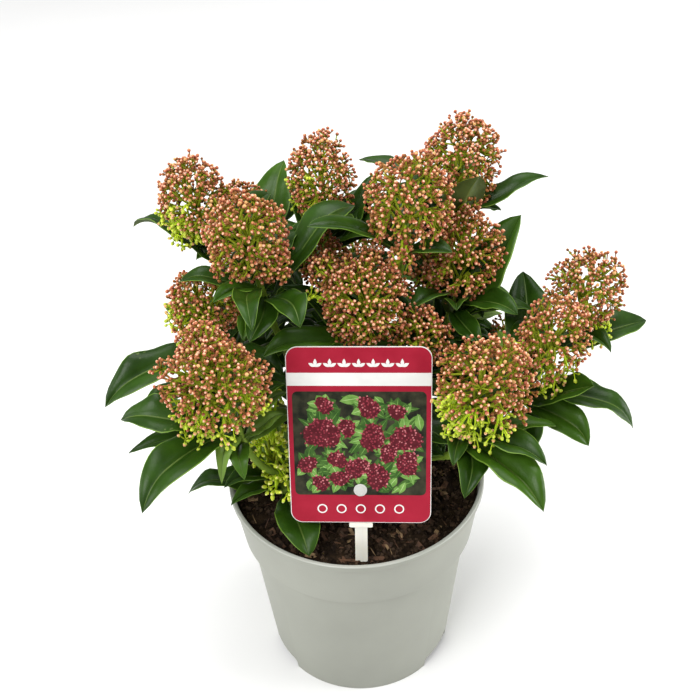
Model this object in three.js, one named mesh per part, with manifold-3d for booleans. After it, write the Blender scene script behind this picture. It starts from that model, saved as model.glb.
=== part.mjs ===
// Flowering skimmia in a round nursery pot, with a picture label on a push-in holder.
// Millimetres, +Z up, origin at the centre of the pot's flat underside, label on the -Y side.
import * as THREE from "three";
import { mergeVertices } from "three/addons/utils/BufferGeometryUtils.js";
import Module from "manifold-3d";

const wasm = await Module();
wasm.setup();

// ---- driving sizes: pot and soil
const POT_HEIGHT = 170;
const RIM_RADIUS = 95;
const BASE_RADIUS = 71;
const COLLAR_DROP = 45;
const COLLAR_RADIUS = 88;
const STEP_IN = 4.6;
const STEP_DEPTH = 2.4;
const WALL = 1.8;
const FLOOR = 2;
const POT_SIDES = 48;
const NOTCH_WIDTH = 36;
const NOTCH_HEIGHT = 9.5;
const NOTCH_INNER = 60;
const NOTCH_ANGLES = [-32, 88, -152];
const SOIL_TOP = 160;
const GAP = 0.3;

// ---- driving sizes: label card and its holder
const CARD_WIDTH = 95;
const CARD_HEIGHT = 127;
const CARD_THICK = 0.8;
const CARD_CORNER = 8;
const CARD_FOOT = [2, -72, 190];
const CARD_LEAN = 18;
const CARD_TURN = -3.5;
const STRIP_WIDTH = 8.5;
const STRIP_THICK = 1.2;
const STRIP_ABOVE = 40;
const STRIP_BELOW = 44;
const BUTTON_HEIGHT = 25;
const BUTTON_RADIUS = 4.5;
const PIN_RADIUS = 2.4;
const LEDGE_WIDTH = 16;

// ---- driving sizes: stem, boughs, twigs
const TRUNK_TOP = [2, 1, 222];
const TRUNK_RADII = [12, 9.4, 8, 6.8, 5.4];
const TRUNK_LEVELS = [0, 0.06, 0.2, 0.55, 1];
const BOUGH_ROOT = 3.4;
const BOUGH_TIP = 2.7;
const TWIG_ROOT = 2.7;
const TWIG_TIP = 2.1;
const BEND_STEPS = 3;
const BOUGH_SIDES = 6;
const TWIG_SIDES = 4;
const HEAD_LEAN = 0.0025;
const HEAD_CLEAR = 4;

// ---- driving sizes: leaves
const LEAF_THICK = 1.3;
const LEAF_STEPS = 24;
const LEAF_STATIONS = [8, 17];
const LEAF_FOLD = 16;
const TESTED_STATIONS = [6, 10, 13, 16, 20, 24];
const LEAVES_A_SHOOT = 8;
const LEAF_TRIES = 11;
const OWN_HEAD = -2;
const OTHER_HEAD = 1.5;
const OWN_LEAF = 4;
const OTHER_LEAF = 8;
const SET_TO_LIMB = 8.5;
const SEEDED_TO_LIMB = 9.5;
const GOLDEN_TURN = 137.5;

// Each mass: the bough's height on the trunk and its tip, and the shoots that grow from it.
// Each shoot: centre and half-width and half-height of its flower head, length of its leafy neck,
// and the leaves that have a set direction: azimuth, rise, chord, arch, drop below the neck's top.
const MASSES = [
  {
    name: "mass_front_left",
    level: 177,
    tip: [-34, -22, 187],
    shoots: [
      {
        head: [-86.5, -60, 307],
        half: [34, 35],
        neck: 26,
        bare: [110, 375],
        leaves: [
          [-128, 7, 90, 30, 10],
          [-178, 16, 76, 25, 6],
          [-167, 3, 73, 30, 14],
          [-104, 17, 52, 30, 14],
          [100, 20, 58, 30, 16],
        ],
      },
      {
        head: [-59.3, -30, 221],
        half: [15, 35],
        neck: 6,
        bare: [120, 330],
        leaves: [
          [-78, -5, 66, 20, 6],
          [-179, 11, 70, 25, 4],
          [83, 50, 76, -20, 5],
          [-134, 30, 52, 20, 3],
        ],
      },
    ],
  },
  {
    name: "mass_left",
    level: 187,
    tip: [-46, 6, 222],
    shoots: [
      {
        head: [-98, 12, 316.5],
        half: [29.5, 27],
        neck: 24,
        bare: [140, 300],
        leaves: [
          [-156, -8, 90, 25, 8],
          [-28, 12, 58, 30, 10],
        ],
      },
    ],
  },
  {
    name: "mass_left_top",
    level: 208,
    tip: [-36, 3, 262],
    shoots: [
      {
        head: [-64.3, 5, 372.5],
        half: [29.5, 31.5],
        neck: 24,
        leaves: [
          [34, 44, 92, 25, 20],
          [-96, 5, 54, 15, 10],
          [-129, 26, 48, 40, 8],
          [178, 20, 58, 25, 10],
          [-64, 20, 60, 35, 14],
        ],
      },
    ],
  },
  {
    name: "mass_left_back",
    level: 192,
    tip: [-48, 44, 250],
    shoots: [
      {
        head: [-103.2, 60, 369],
        half: [26.5, 30],
        neck: 22,
        bare: [95, 250],
        leaves: [[150, 20, 76, 35, 18]],
      },
      {
        head: [-73.2, 96, 341],
        half: [19.5, 22],
        neck: 20,
        bare: [60, 215],
        leaves: [[66, 50, 72, -25, 10]],
      },
    ],
  },
  {
    name: "mass_top_left",
    level: 198,
    tip: [-10, 36, 235],
    shoots: [
      {
        head: [-17.4, 80, 371.5],
        half: [24.5, 33],
        neck: 22,
        leaves: [
          [136, 54, 56, -25, 16],
          [36, 48, 66, -25, 18],
          [175, 20, 54, 30, 10],
        ],
      },
      {
        head: [-16.2, 44, 326.5],
        half: [18.5, 22],
        neck: 20,
        leaves: [[-140, 2, 70, 35, 8]],
      },
    ],
  },
  {
    name: "mass_centre",
    shoots: [
      {
        head: [8.7, 0, 325.5],
        half: [30, 34.5],
        neck: 24,
        leaves: [
          [150, 40, 82, 20, 18],
          [-162, 15, 76, 35, 2],
        ],
      },
      {
        head: [46.5, -4, 296],
        half: [21, 23],
        neck: 16,
        leaves: [
          [4, 26, 46, 35, 8],
          [66, 20, 70, 15, 6],
        ],
      },
    ],
  },
  {
    name: "mass_top",
    level: 205,
    tip: [18, 40, 250],
    shoots: [
      {
        head: [40.2, 26, 383],
        half: [31, 32],
        neck: 16,
        bare: [-120, 50],
        leaves: [
          [-156, 32, 84, 30, 6],
          [-26, 30, 50, 45, 6],
        ],
      },
    ],
  },
  {
    name: "mass_right_back",
    level: 190,
    tip: [46, 34, 235],
    shoots: [
      {
        head: [79.4, 40, 330],
        half: [28, 32],
        neck: 24,
        leaves: [
          [33, 50, 92, -22, 20],
          [-38, 26, 68, 40, 6],
          [-72, 5, 48, 15, 6],
          [-5, 10, 66, 35, 16],
        ],
      },
      {
        head: [81.7, 90, 378.5],
        half: [27, 33],
        neck: 22,
        bare: [-20, 75],
        leaves: [
          [6, 25, 69, -25, 2],
          [-70, 58, 80, -22, 18],
          [0, 14, 44, 30, 4],
        ],
      },
    ],
  },
  {
    name: "mass_right_front",
    level: 188,
    tip: [38, -24, 204],
    shoots: [
      {
        head: [82, -57, 293],
        half: [33, 39],
        neck: 24,
        bare: [-140, 50],
        leaves: [
          [-59, 8, 84, 30, 10],
          [-42, 22, 74, 30, 6],
          [-4, 12, 62, 35, 8],
          [-95, 14, 62, 40, 14],
          [-112, 15, 46, 45, 4],
          [34, 30, 62, 25, 12],
        ],
      },
    ],
  },
  {
    name: "mass_right",
    level: 176,
    tip: [80, 4, 216],
    shoots: [
      {
        head: [133, -16, 297],
        half: [26, 33],
        neck: 24,
        bare: [-80, 60],
        leaves: [
          [84, 30, 94, -25, 10],
          [-21, -1, 78, 25, 10],
          [-42, -3, 58, 25, 20],
          [-42, 38, 66, -15, 18],
        ],
      },
      {
        head: [164.8, 32, 305.6],
        half: [27, 28],
        neck: 22,
        bare: [-90, 165],
        leaves: [
          [12, 10, 72, 15, 22],
          [-56, 22, 50, 25, 10],
        ],
      },
    ],
  },
  {
    name: "mass_back_left",
    level: 173,
    tip: [-50, 62, 192],
    shoots: [
      { head: [-75, 125, 275], half: [27, 30], neck: 22, leaves: [] },
      { head: [-112, 78, 238], half: [24, 26], neck: 12, leaves: [] },
    ],
  },
  {
    name: "mass_back",
    level: 181,
    tip: [2, 60, 205],
    shoots: [{ head: [5, 138, 285], half: [28, 30], neck: 24, leaves: [] }],
  },
  {
    name: "mass_back_right",
    level: 172,
    tip: [56, 54, 192],
    shoots: [
      { head: [80, 125, 270], half: [27, 30], neck: 20, bare: [5, 50], leaves: [] },
      { head: [130, 75, 232], half: [24, 26], neck: 10, leaves: [] },
    ],
  },
];

// ---- small helpers
const rad = THREE.MathUtils.degToRad;
const vec = (a) => new THREE.Vector3(a[0], a[1], a[2]);
const lerp = (a, b, t) => a + (b - a) * t;
const inSector = (angle, [from, to]) => (((angle - from) % 360) + 360) % 360 < to - from;

let seed = 4201;
function chance() {
  seed = (Math.imul(seed, 1664525) + 1013904223) >>> 0;
  return seed / 4294967296;
}

function solidOf(points, faces) {
  return new wasm.Manifold(
    new wasm.Mesh({
      numProp: 3,
      vertProperties: new Float32Array(points.flatMap((p) => [p.x, p.y, p.z])),
      triVerts: new Uint32Array(faces.flat()),
    }),
  );
}

function solidOfGeometry(geometry) {
  geometry.deleteAttribute("normal");
  geometry.deleteAttribute("uv");
  const merged = mergeVertices(geometry, 1e-4);
  return new wasm.Manifold(
    new wasm.Mesh({
      numProp: 3,
      vertProperties: merged.attributes.position.array,
      triVerts: new Uint32Array(merged.index.array),
    }),
  );
}

function meshOf(name, solid, colour) {
  const made = solid.getMesh();
  const geometry = new THREE.BufferGeometry();
  const count = made.vertProperties.length / made.numProp;
  const places = new Float32Array(count * 3);
  for (let i = 0; i < count; i++)
    for (let j = 0; j < 3; j++)
      places[3 * i + j] = made.vertProperties[i * made.numProp + j];
  geometry.setAttribute("position", new THREE.BufferAttribute(places, 3));
  geometry.setIndex(new THREE.BufferAttribute(new Uint32Array(made.triVerts), 1));
  geometry.computeVertexNormals();
  const mesh = new THREE.Mesh(
    geometry,
    new THREE.MeshStandardMaterial({ color: colour }),
  );
  mesh.name = name;
  return mesh;
}

function lathe(profile) {
  const geometry = new THREE.LatheGeometry(
    profile.map((p) => new THREE.Vector2(p[0], p[1])),
    POT_SIDES,
  );
  geometry.rotateX(Math.PI / 2);
  return solidOfGeometry(geometry);
}

// ---- limbs: tapered round tubes with flat ends along a path
function limb(path, radii, sides) {
  const points = [];
  const faces = [];
  const last = path.length - 1;
  let across = null;
  path.forEach((p, i) => {
    const along = path[Math.min(i + 1, last)]
      .clone()
      .sub(path[Math.max(i - 1, 0)])
      .normalize();
    if (!across)
      across = Math.abs(along.z) > 0.9 ? new THREE.Vector3(1, 0, 0) : new THREE.Vector3(0, 0, 1);
    across = across.clone().addScaledVector(along, -across.dot(along)).normalize();
    const over = new THREE.Vector3().crossVectors(along, across);
    for (let k = 0; k < sides; k++) {
      const turn = (2 * Math.PI * k) / sides;
      points.push(
        p
          .clone()
          .addScaledVector(across, radii[i] * Math.cos(turn))
          .addScaledVector(over, radii[i] * Math.sin(turn)),
      );
    }
  });
  for (let i = 0; i < last; i++)
    for (let k = 0; k < sides; k++) {
      const a = i * sides + k;
      const b = i * sides + ((k + 1) % sides);
      faces.push([a, b, b + sides], [a, b + sides, a + sides]);
    }
  for (let k = 1; k < sides - 1; k++) {
    faces.push([0, k + 1, k]);
    faces.push([last * sides, last * sides + k, last * sides + k + 1]);
  }
  return solidOf(points, faces);
}

function bend(a, b, c, steps) {
  const path = [];
  for (let i = 0; i <= steps; i++) {
    const t = i / steps;
    path.push(
      a
        .clone()
        .multiplyScalar((1 - t) * (1 - t))
        .addScaledVector(b, 2 * t * (1 - t))
        .addScaledVector(c, t * t),
    );
  }
  return path;
}

const tapered = (path, from, to) =>
  path.map((_, i) => lerp(from, to, i / (path.length - 1)));

// ---- flower heads: an egg of short crowded sprays, every spray tip a peak
function globe(order) {
  const geometry = new THREE.IcosahedronGeometry(1, order - 1);
  geometry.deleteAttribute("normal");
  geometry.deleteAttribute("uv");
  const merged = mergeVertices(geometry, 1e-4);
  const places = merged.attributes.position.array;
  const points = [];
  for (let i = 0; i < places.length; i += 3)
    points.push(new THREE.Vector3(places[i], places[i + 1], places[i + 2]));
  const faces = [];
  const near = points.map(() => new Set());
  for (let i = 0; i < merged.index.array.length; i += 3) {
    const [a, b, c] = merged.index.array.slice(i, i + 3);
    faces.push([a, b, c]);
    near[a].add(b).add(c);
    near[b].add(a).add(c);
    near[c].add(a).add(b);
  }
  const peak = points.map(() => false);
  points.forEach((_, i) => {
    peak[i] = ![...near[i]].some((j) => peak[j]);
  });
  return { points, faces, peak };
}

function headPoint(shoot, direction, reach) {
  const wide = shoot.half[0] * (1 - 0.1 * direction.z) * reach;
  return shoot.centre
    .clone()
    .addScaledVector(shoot.sideways, wide * direction.x)
    .addScaledVector(shoot.forward, wide * direction.y)
    .addScaledVector(shoot.axis, shoot.half[1] * reach * direction.z);
}

function flowerHead(shoot) {
  const { points, faces, peak } = globe(shoot.half[0] > 29.8 ? 4 : 3);
  const placed = points.map((d, i) =>
    headPoint(shoot, d, peak[i] ? lerp(0.95, 1, chance()) : lerp(0.76, 0.83, chance())),
  );
  return solidOf(placed, faces);
}

// ---- leaves: a blade swept along a rib that arches over, its two halves folded up a little
function leafRib(base, leaf) {
  const rib = [base.clone()];
  const arch = rad(leaf.arch);
  const length = (leaf.chord * (arch / 2)) / Math.sin(arch / 2);
  const step = length / LEAF_STEPS;
  const azimuth = rad(leaf.azimuth);
  for (let i = 0; i < LEAF_STEPS; i++) {
    const rise = rad(leaf.rise) + arch * (0.5 - (i + 0.5) / LEAF_STEPS);
    const p = rib[i].clone();
    p.x += step * Math.cos(rise) * Math.cos(azimuth);
    p.y += step * Math.cos(rise) * Math.sin(azimuth);
    p.z += step * Math.sin(rise);
    rib.push(p);
  }
  return rib;
}

function halfWidth(leaf, t) {
  return leaf.width * 0.5 * Math.pow(Math.sin(Math.PI * Math.pow(t, 1.12)), 0.8);
}

function leafSection(leaf, rib, i, grow) {
  const t = i / LEAF_STEPS;
  const rise = rad(leaf.rise + leaf.arch * (0.5 - t));
  const azimuth = rad(leaf.azimuth);
  const roll = rad(leaf.roll);
  const side = new THREE.Vector3(-Math.sin(azimuth), Math.cos(azimuth), 0);
  const up = new THREE.Vector3(
    -Math.sin(rise) * Math.cos(azimuth),
    -Math.sin(rise) * Math.sin(azimuth),
    Math.cos(rise),
  );
  const across = side.clone().multiplyScalar(Math.cos(roll)).addScaledVector(up, Math.sin(roll));
  const normal = up.clone().multiplyScalar(Math.cos(roll)).addScaledVector(side, -Math.sin(roll));
  const half = halfWidth(leaf, t) + grow;
  const fold = rad(LEAF_FOLD);
  const edge = (sign) =>
    rib[i]
      .clone()
      .addScaledVector(across, sign * half * Math.cos(fold))
      .addScaledVector(normal, half * Math.sin(fold));
  return { left: edge(1), middle: rib[i], right: edge(-1), normal };
}

function leafSolid(leaf) {
  const rib = leafRib(leaf.base, leaf);
  const root = leafSection(leaf, rib, 0, 0).normal;
  const points = [
    rib[0].clone().addScaledVector(root, 0.7),
    rib[0].clone().addScaledVector(root, -0.9),
  ];
  LEAF_STATIONS.forEach((i) => {
    const s = leafSection(leaf, rib, i, 0);
    points.push(s.left, s.middle.clone(), s.right);
    points.push(s.middle.clone().addScaledVector(s.normal, -LEAF_THICK));
  });
  points.push(rib[LEAF_STEPS]);
  const tip = points.length - 1;
  const faces = [
    [0, 3, 2],
    [0, 4, 3],
    [1, 2, 5],
    [1, 5, 4],
    [0, 2, 1],
    [0, 1, 4],
  ];
  for (let k = 0; k < LEAF_STATIONS.length - 1; k++) {
    const a = 2 + 4 * k;
    const b = a + 4;
    faces.push([a, a + 1, b + 1], [a, b + 1, b]);
    faces.push([a + 1, a + 2, b + 2], [a + 1, b + 2, b + 1]);
    faces.push([a, b, b + 3], [a, b + 3, a + 3]);
    faces.push([a + 3, b + 3, b + 2], [a + 3, b + 2, a + 2]);
  }
  const e = 2 + 4 * (LEAF_STATIONS.length - 1);
  faces.push([e, e + 1, tip], [e + 1, e + 2, tip], [e, tip, e + 3], [e + 3, tip, e + 2]);
  return solidOf(points, faces);
}

// ---- where a leaf may go
const turned = new THREE.Matrix4()
  .makeRotationZ(rad(CARD_TURN))
  .multiply(new THREE.Matrix4().makeRotationX(rad(-CARD_LEAN)))
  .setPosition(...CARD_FOOT);
const untold = turned.clone().invert();

function insideHead(p, shoot, margin) {
  const d = p.clone().sub(shoot.centre);
  const wide = shoot.half[0] + margin;
  const tall = shoot.half[1] + margin;
  const x = d.dot(shoot.sideways) / wide;
  const y = d.dot(shoot.forward) / wide;
  const z = d.dot(shoot.axis) / tall;
  return x * x + y * y + z * z < 1;
}

function distanceToPath(p, path) {
  let best = 1e9;
  for (let i = 0; i + 1 < path.length; i++) {
    const run = path[i + 1].clone().sub(path[i]);
    const t = Math.min(1, Math.max(0, p.clone().sub(path[i]).dot(run) / run.lengthSq()));
    best = Math.min(best, p.distanceTo(path[i].clone().addScaledVector(run, t)));
  }
  return best;
}

function overLabel(x, z) {
  const wide = z < -4 ? STRIP_WIDTH / 2 + 5 : CARD_WIDTH / 2 + 3;
  return Math.abs(x) < wide && z > -STRIP_BELOW && z < CARD_HEIGHT + 4;
}

function leafFits(leaf, placed, shoots, limbs) {
  const rib = leafRib(leaf.base, leaf);
  const rows = TESTED_STATIONS.map((i) => {
    const s = leafSection(leaf, rib, i, 0);
    return [s.left, s.middle, s.right];
  });
  leaf.tested = rows.flat();
  leaf.outer = leaf.tested.slice(3);
  for (const p of leaf.tested) {
    const out = Math.hypot(p.x, p.y);
    if (out < RIM_RADIUS + 3 && p.z < (out > 86 ? POT_HEIGHT + 3.5 : SOIL_TOP + 4)) return false;
    if (p.z < POT_HEIGHT - 30) return false;
    for (const shoot of shoots)
      if (insideHead(p, shoot, shoot.mass === leaf.shoot.mass ? OWN_HEAD : OTHER_HEAD)) return false;
    for (const other of limbs)
      if (other.mass !== leaf.shoot.mass && distanceToPath(p, other.path) < leaf.clear) return false;
    for (const other of placed)
      if (other.shoot.mass !== leaf.shoot.mass)
        for (const q of other.tested) if (p.distanceTo(q) < OTHER_LEAF) return false;
  }
  for (const other of placed)
    if (other.shoot.mass === leaf.shoot.mass)
      for (const p of leaf.outer)
        for (const q of other.outer) if (p.distanceTo(q) < OWN_LEAF) return false;
  for (let k = 0; k < 3; k++)
    for (let i = 0; i < rows.length; i++) {
      const a = rows[i][k].clone().applyMatrix4(untold);
      if (a.y < 4.5 && overLabel(a.x, a.z)) return false;
      const before = i ? rows[i - 1][k].clone().applyMatrix4(untold) : null;
      if (before && before.y * a.y < 0) {
        const t = before.y / (before.y - a.y);
        if (overLabel(lerp(before.x, a.x, t), lerp(before.z, a.z, t))) return false;
      }
    }
  return true;
}

// ---- plant: trunk, boughs, shoots
const trunkFoot = new THREE.Vector3(0, 0, SOIL_TOP + GAP);
const trunkTop = vec(TRUNK_TOP);
const trunkAt = (t) => trunkFoot.clone().lerp(trunkTop, t);
const trunkPath = TRUNK_LEVELS.map(trunkAt);
const trunkSolid = limb(
  [trunkAt(-0.06), ...trunkPath],
  [TRUNK_RADII[0], ...TRUNK_RADII],
  8,
).subtract(box(60, 60, 20, 0, 0, SOIL_TOP + GAP - 10));
const trunkClear = limb(trunkPath, TRUNK_RADII.map((r) => r + 1.4 * GAP), 8);

const limbs = [{ mass: "trunk", path: trunkPath }];
const shoots = [];
const solids = [];
for (const mass of MASSES) {
  let foot;
  let onward;
  if (mass.level) {
    const tip = vec(mass.tip);
    const root = trunkAt((mass.level - SOIL_TOP) / (TRUNK_TOP[2] - SOIL_TOP));
    const knee = new THREE.Vector3(tip.x * 0.72, tip.y * 0.72, lerp(mass.level, tip.z, 0.3));
    const path = bend(root, knee, tip, BEND_STEPS);
    const solid = limb(path, tapered(path, BOUGH_ROOT, BOUGH_TIP), BOUGH_SIDES).subtract(trunkClear);
    solids.push([mass.name.replace("mass", "bough"), solid, 0x6d6a3c]);
    limbs.push({ mass: mass.name, path });
    onward = tip.clone().sub(path[BEND_STEPS - 1]).normalize();
    foot = tip.clone().addScaledVector(onward, GAP);
  } else {
    onward = trunkTop.clone().sub(trunkFoot).normalize();
    foot = trunkTop.clone().addScaledVector(onward, GAP);
  }
  mass.twigs = mass.shoots.map((shoot) => {
    shoot.mass = mass.name;
    shoot.centre = vec(shoot.head);
    shoot.axis = new THREE.Vector3(shoot.head[0] * HEAD_LEAN, shoot.head[1] * HEAD_LEAN, 1).normalize();
    shoot.sideways = new THREE.Vector3(shoot.axis.z, 0, -shoot.axis.x).normalize();
    shoot.forward = new THREE.Vector3().crossVectors(shoot.axis, shoot.sideways);
    shoot.node = shoot.centre.clone().addScaledVector(shoot.axis, -shoot.half[1] - HEAD_CLEAR);
    const low = shoot.node.clone().addScaledVector(shoot.axis, -shoot.neck);
    const start = foot.clone().addScaledVector(onward, 8);
    const reach = low.distanceTo(start);
    const knee = start
      .clone()
      .addScaledVector(onward, 0.45 * reach)
      .lerp(low.clone().addScaledVector(shoot.axis, -0.4 * reach), 0.4);
    const path = [
      foot,
      ...bend(start, knee, low, BEND_STEPS),
      shoot.node,
      shoot.centre.clone().addScaledVector(shoot.axis, -0.5 * shoot.half[1]),
    ];
    limbs.push({ mass: mass.name, path });
    shoots.push(shoot);
    return path;
  });
}

// ---- leaves: first those with a set direction, then seeded ones round each neck
const placed = [];
function tryLeaf(shoot, wanted) {
  for (let k = 0; k < LEAF_TRIES; k++) {
    const swing = (k % 2 ? 1 : -1) * Math.ceil(k / 2);
    const leaf = {
      ...wanted,
      shoot,
      azimuth: wanted.azimuth + wanted.search * swing,
      rise: wanted.rise + (wanted.search > 10 ? 0 : 2 * swing),
      chord: wanted.chord * (1 - 0.03 * k),
    };
    if (wanted.bare && inSector(leaf.azimuth, wanted.bare)) continue;
    if (leafFits(leaf, placed, shoots, limbs)) {
      placed.push(leaf);
      return true;
    }
  }
  return false;
}

for (const shoot of shoots) {
  shoot.leafCount = 0;
  shoot.leaves.forEach(([azimuth, rise, chord, arch, drop]) => {
    const wanted = {
      base: shoot.node.clone().addScaledVector(shoot.axis, -Math.min(drop, shoot.neck)),
      azimuth,
      rise,
      chord,
      arch,
      width: chord * lerp(0.36, 0.41, chance()),
      roll: lerp(-10, 10, chance()),
      search: 3,
      clear: SET_TO_LIMB,
    };
    if (tryLeaf(shoot, wanted)) shoot.leafCount += 1;
  });
}
for (const shoot of shoots) {
  const start = 360 * chance();
  for (let i = 0; i < LEAVES_A_SHOOT + 4; i++) {
    const share = i / (LEAVES_A_SHOOT + 3);
    const chord = lerp(56, 84, chance());
    const wanted = {
      base: shoot.node.clone().addScaledVector(shoot.axis, -lerp(2, shoot.neck, share)),
      azimuth: start + GOLDEN_TURN * i,
      rise: lerp(36, -6, share) + lerp(-8, 8, chance()),
      chord,
      arch: lerp(20, 55, chance()),
      width: chord * lerp(0.35, 0.42, chance()),
      roll: lerp(-14, 14, chance()),
      search: 13,
      clear: SEEDED_TO_LIMB,
      bare: shoot.bare,
    };
    if (shoot.leafCount < LEAVES_A_SHOOT && tryLeaf(shoot, wanted)) shoot.leafCount += 1;
  }
}

for (const mass of MASSES) {
  let solid = null;
  const add = (piece) => {
    solid = solid ? solid.add(piece) : piece;
  };
  mass.twigs.forEach((path, i) => {
    add(limb(path, tapered(path, TWIG_ROOT, TWIG_TIP), TWIG_SIDES));
    add(flowerHead(mass.shoots[i]));
  });
  placed.filter((leaf) => leaf.shoot.mass === mass.name).forEach((leaf) => add(leafSolid(leaf)));
  const bodies = solid.simplify(0.01).decompose().sort((a, b) => b.volume() - a.volume());
  solids.push([mass.name, bodies[0], 0x3f6b2f]);
}
solids.push(["trunk", trunkSolid, 0x6b5a3a]);

// ---- pot
const shrink = (COLLAR_RADIUS - STEP_IN - BASE_RADIUS) / (POT_HEIGHT - COLLAR_DROP);
const COLLAR_Z = POT_HEIGHT - COLLAR_DROP;
const potOuter = [
  [0, 0],
  [BASE_RADIUS - 0.8, 0],
  [BASE_RADIUS, 0.8],
  [COLLAR_RADIUS - STEP_IN - 0.2, COLLAR_Z - STEP_DEPTH],
  [COLLAR_RADIUS, COLLAR_Z],
  [RIM_RADIUS - 1.8, POT_HEIGHT - 5.5],
  [RIM_RADIUS, POT_HEIGHT - 4.6],
  [RIM_RADIUS, POT_HEIGHT - 1],
  [RIM_RADIUS - 0.9, POT_HEIGHT],
];
const potInner = [
  [RIM_RADIUS - 2.4, POT_HEIGHT],
  [RIM_RADIUS - 3.2, POT_HEIGHT - 1],
  [RIM_RADIUS - 1.8 - WALL, POT_HEIGHT - 6.5],
  [COLLAR_RADIUS - WALL, COLLAR_Z + 1],
  [COLLAR_RADIUS - STEP_IN - 0.2 - WALL, COLLAR_Z - STEP_DEPTH + 1],
  [BASE_RADIUS + shrink * FLOOR - WALL, FLOOR],
  [0, FLOOR],
];
let pot = lathe([...potOuter, ...potInner]);
for (const angle of NOTCH_ANGLES) {
  const arch = new THREE.Shape();
  arch.moveTo(-NOTCH_WIDTH / 2, -2);
  arch.lineTo(NOTCH_WIDTH / 2, -2);
  arch.lineTo(NOTCH_WIDTH / 2, NOTCH_HEIGHT - 4);
  arch.quadraticCurveTo(NOTCH_WIDTH / 2, NOTCH_HEIGHT, NOTCH_WIDTH / 2 - 5, NOTCH_HEIGHT);
  arch.lineTo(5 - NOTCH_WIDTH / 2, NOTCH_HEIGHT);
  arch.quadraticCurveTo(-NOTCH_WIDTH / 2, NOTCH_HEIGHT, -NOTCH_WIDTH / 2, NOTCH_HEIGHT - 4);
  arch.closePath();
  const cutter = new THREE.ExtrudeGeometry(arch, {
    depth: BASE_RADIUS + 12 - NOTCH_INNER,
    bevelEnabled: false,
    curveSegments: 3,
  });
  cutter.translate(0, 0, NOTCH_INNER);
  cutter.rotateX(Math.PI / 2);
  cutter.rotateZ(rad(angle + 90));
  pot = pot.subtract(solidOfGeometry(cutter));
}

// ---- label: card with a pin hole, holder with strip, ledge, pin and button
function box(width, thick, height, x, y, z) {
  const geometry = new THREE.BoxGeometry(width, thick, height);
  geometry.translate(x, y, z);
  return solidOfGeometry(geometry);
}
function pin(radius, length, y, z) {
  const geometry = new THREE.CylinderGeometry(radius, radius, length, 16);
  geometry.translate(0, y, z);
  return solidOfGeometry(geometry);
}
const outline = new THREE.Shape();
const w = CARD_WIDTH / 2;
const c = CARD_CORNER;
outline.moveTo(-w + c, 0);
outline.lineTo(w - c, 0);
outline.absarc(w - c, c, c, -Math.PI / 2, 0);
outline.lineTo(w, CARD_HEIGHT - c);
outline.absarc(w - c, CARD_HEIGHT - c, c, 0, Math.PI / 2);
outline.lineTo(-w + c, CARD_HEIGHT);
outline.absarc(-w + c, CARD_HEIGHT - c, c, Math.PI / 2, Math.PI);
outline.lineTo(-w, c);
outline.absarc(-w + c, c, c, Math.PI, 1.5 * Math.PI);
const hole = new THREE.Path();
hole.absarc(0, BUTTON_HEIGHT, PIN_RADIUS + 0.4, 0, 2 * Math.PI, true);
outline.holes.push(hole);
const cardGeometry = new THREE.ExtrudeGeometry(outline, {
  depth: CARD_THICK,
  bevelEnabled: false,
  curveSegments: 5,
});
cardGeometry.rotateX(Math.PI / 2);
cardGeometry.translate(0, CARD_THICK / 2, 0);
const card = solidOfGeometry(cardGeometry).transform(turned.elements);
const back = CARD_THICK / 2 + GAP;
const holderShape = box(
  STRIP_WIDTH,
  STRIP_THICK,
  STRIP_ABOVE + STRIP_BELOW,
  0,
  back + STRIP_THICK / 2,
  (STRIP_ABOVE - STRIP_BELOW) / 2,
)
  .add(box(LEDGE_WIDTH, 3.2, 3, 0, back + STRIP_THICK - 1.6, -1.5 - GAP))
  .add(pin(PIN_RADIUS, 3.4, back - 1.2, BUTTON_HEIGHT))
  .add(pin(BUTTON_RADIUS, 1, -back - 0.5, BUTTON_HEIGHT));
const holder = holderShape.transform(turned.elements);
const slot = box(
  STRIP_WIDTH + 2 * GAP,
  STRIP_THICK + 2 * GAP,
  STRIP_BELOW + 1,
  0,
  back + STRIP_THICK / 2,
  -(STRIP_BELOW + 1) / 2,
).transform(turned.elements);

// ---- soil: fills the pot from its floor, a little heaped in the middle
const fit = WALL + 0.5;
const soil = lathe([
  [0, FLOOR + GAP],
  [BASE_RADIUS - fit, FLOOR + GAP],
  [COLLAR_RADIUS - STEP_IN - 0.2 - fit, COLLAR_Z - STEP_DEPTH + 1],
  [COLLAR_RADIUS - fit, COLLAR_Z + 1],
  [RIM_RADIUS - 2.6 - fit, SOIL_TOP - 1.6],
  [45, SOIL_TOP],
  [0, SOIL_TOP],
]).subtract(slot);

const part = new THREE.Group();
part.name = "skimmia_in_pot";
part.add(meshOf("pot", pot, 0xb9bcb1));
part.add(meshOf("soil", soil, 0x2b201a));
for (const [name, solid, colour] of solids) part.add(meshOf(name, solid, colour));
part.add(meshOf("label_card", card, 0xb8203a));
part.add(meshOf("label_holder", holder, 0xe6e8e4));

export default part;
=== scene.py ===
"""A flowering skimmia in its round nursery pot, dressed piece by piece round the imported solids."""
import math

import bpy
import numpy as np
from mathutils import Matrix, Vector, noise


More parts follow.
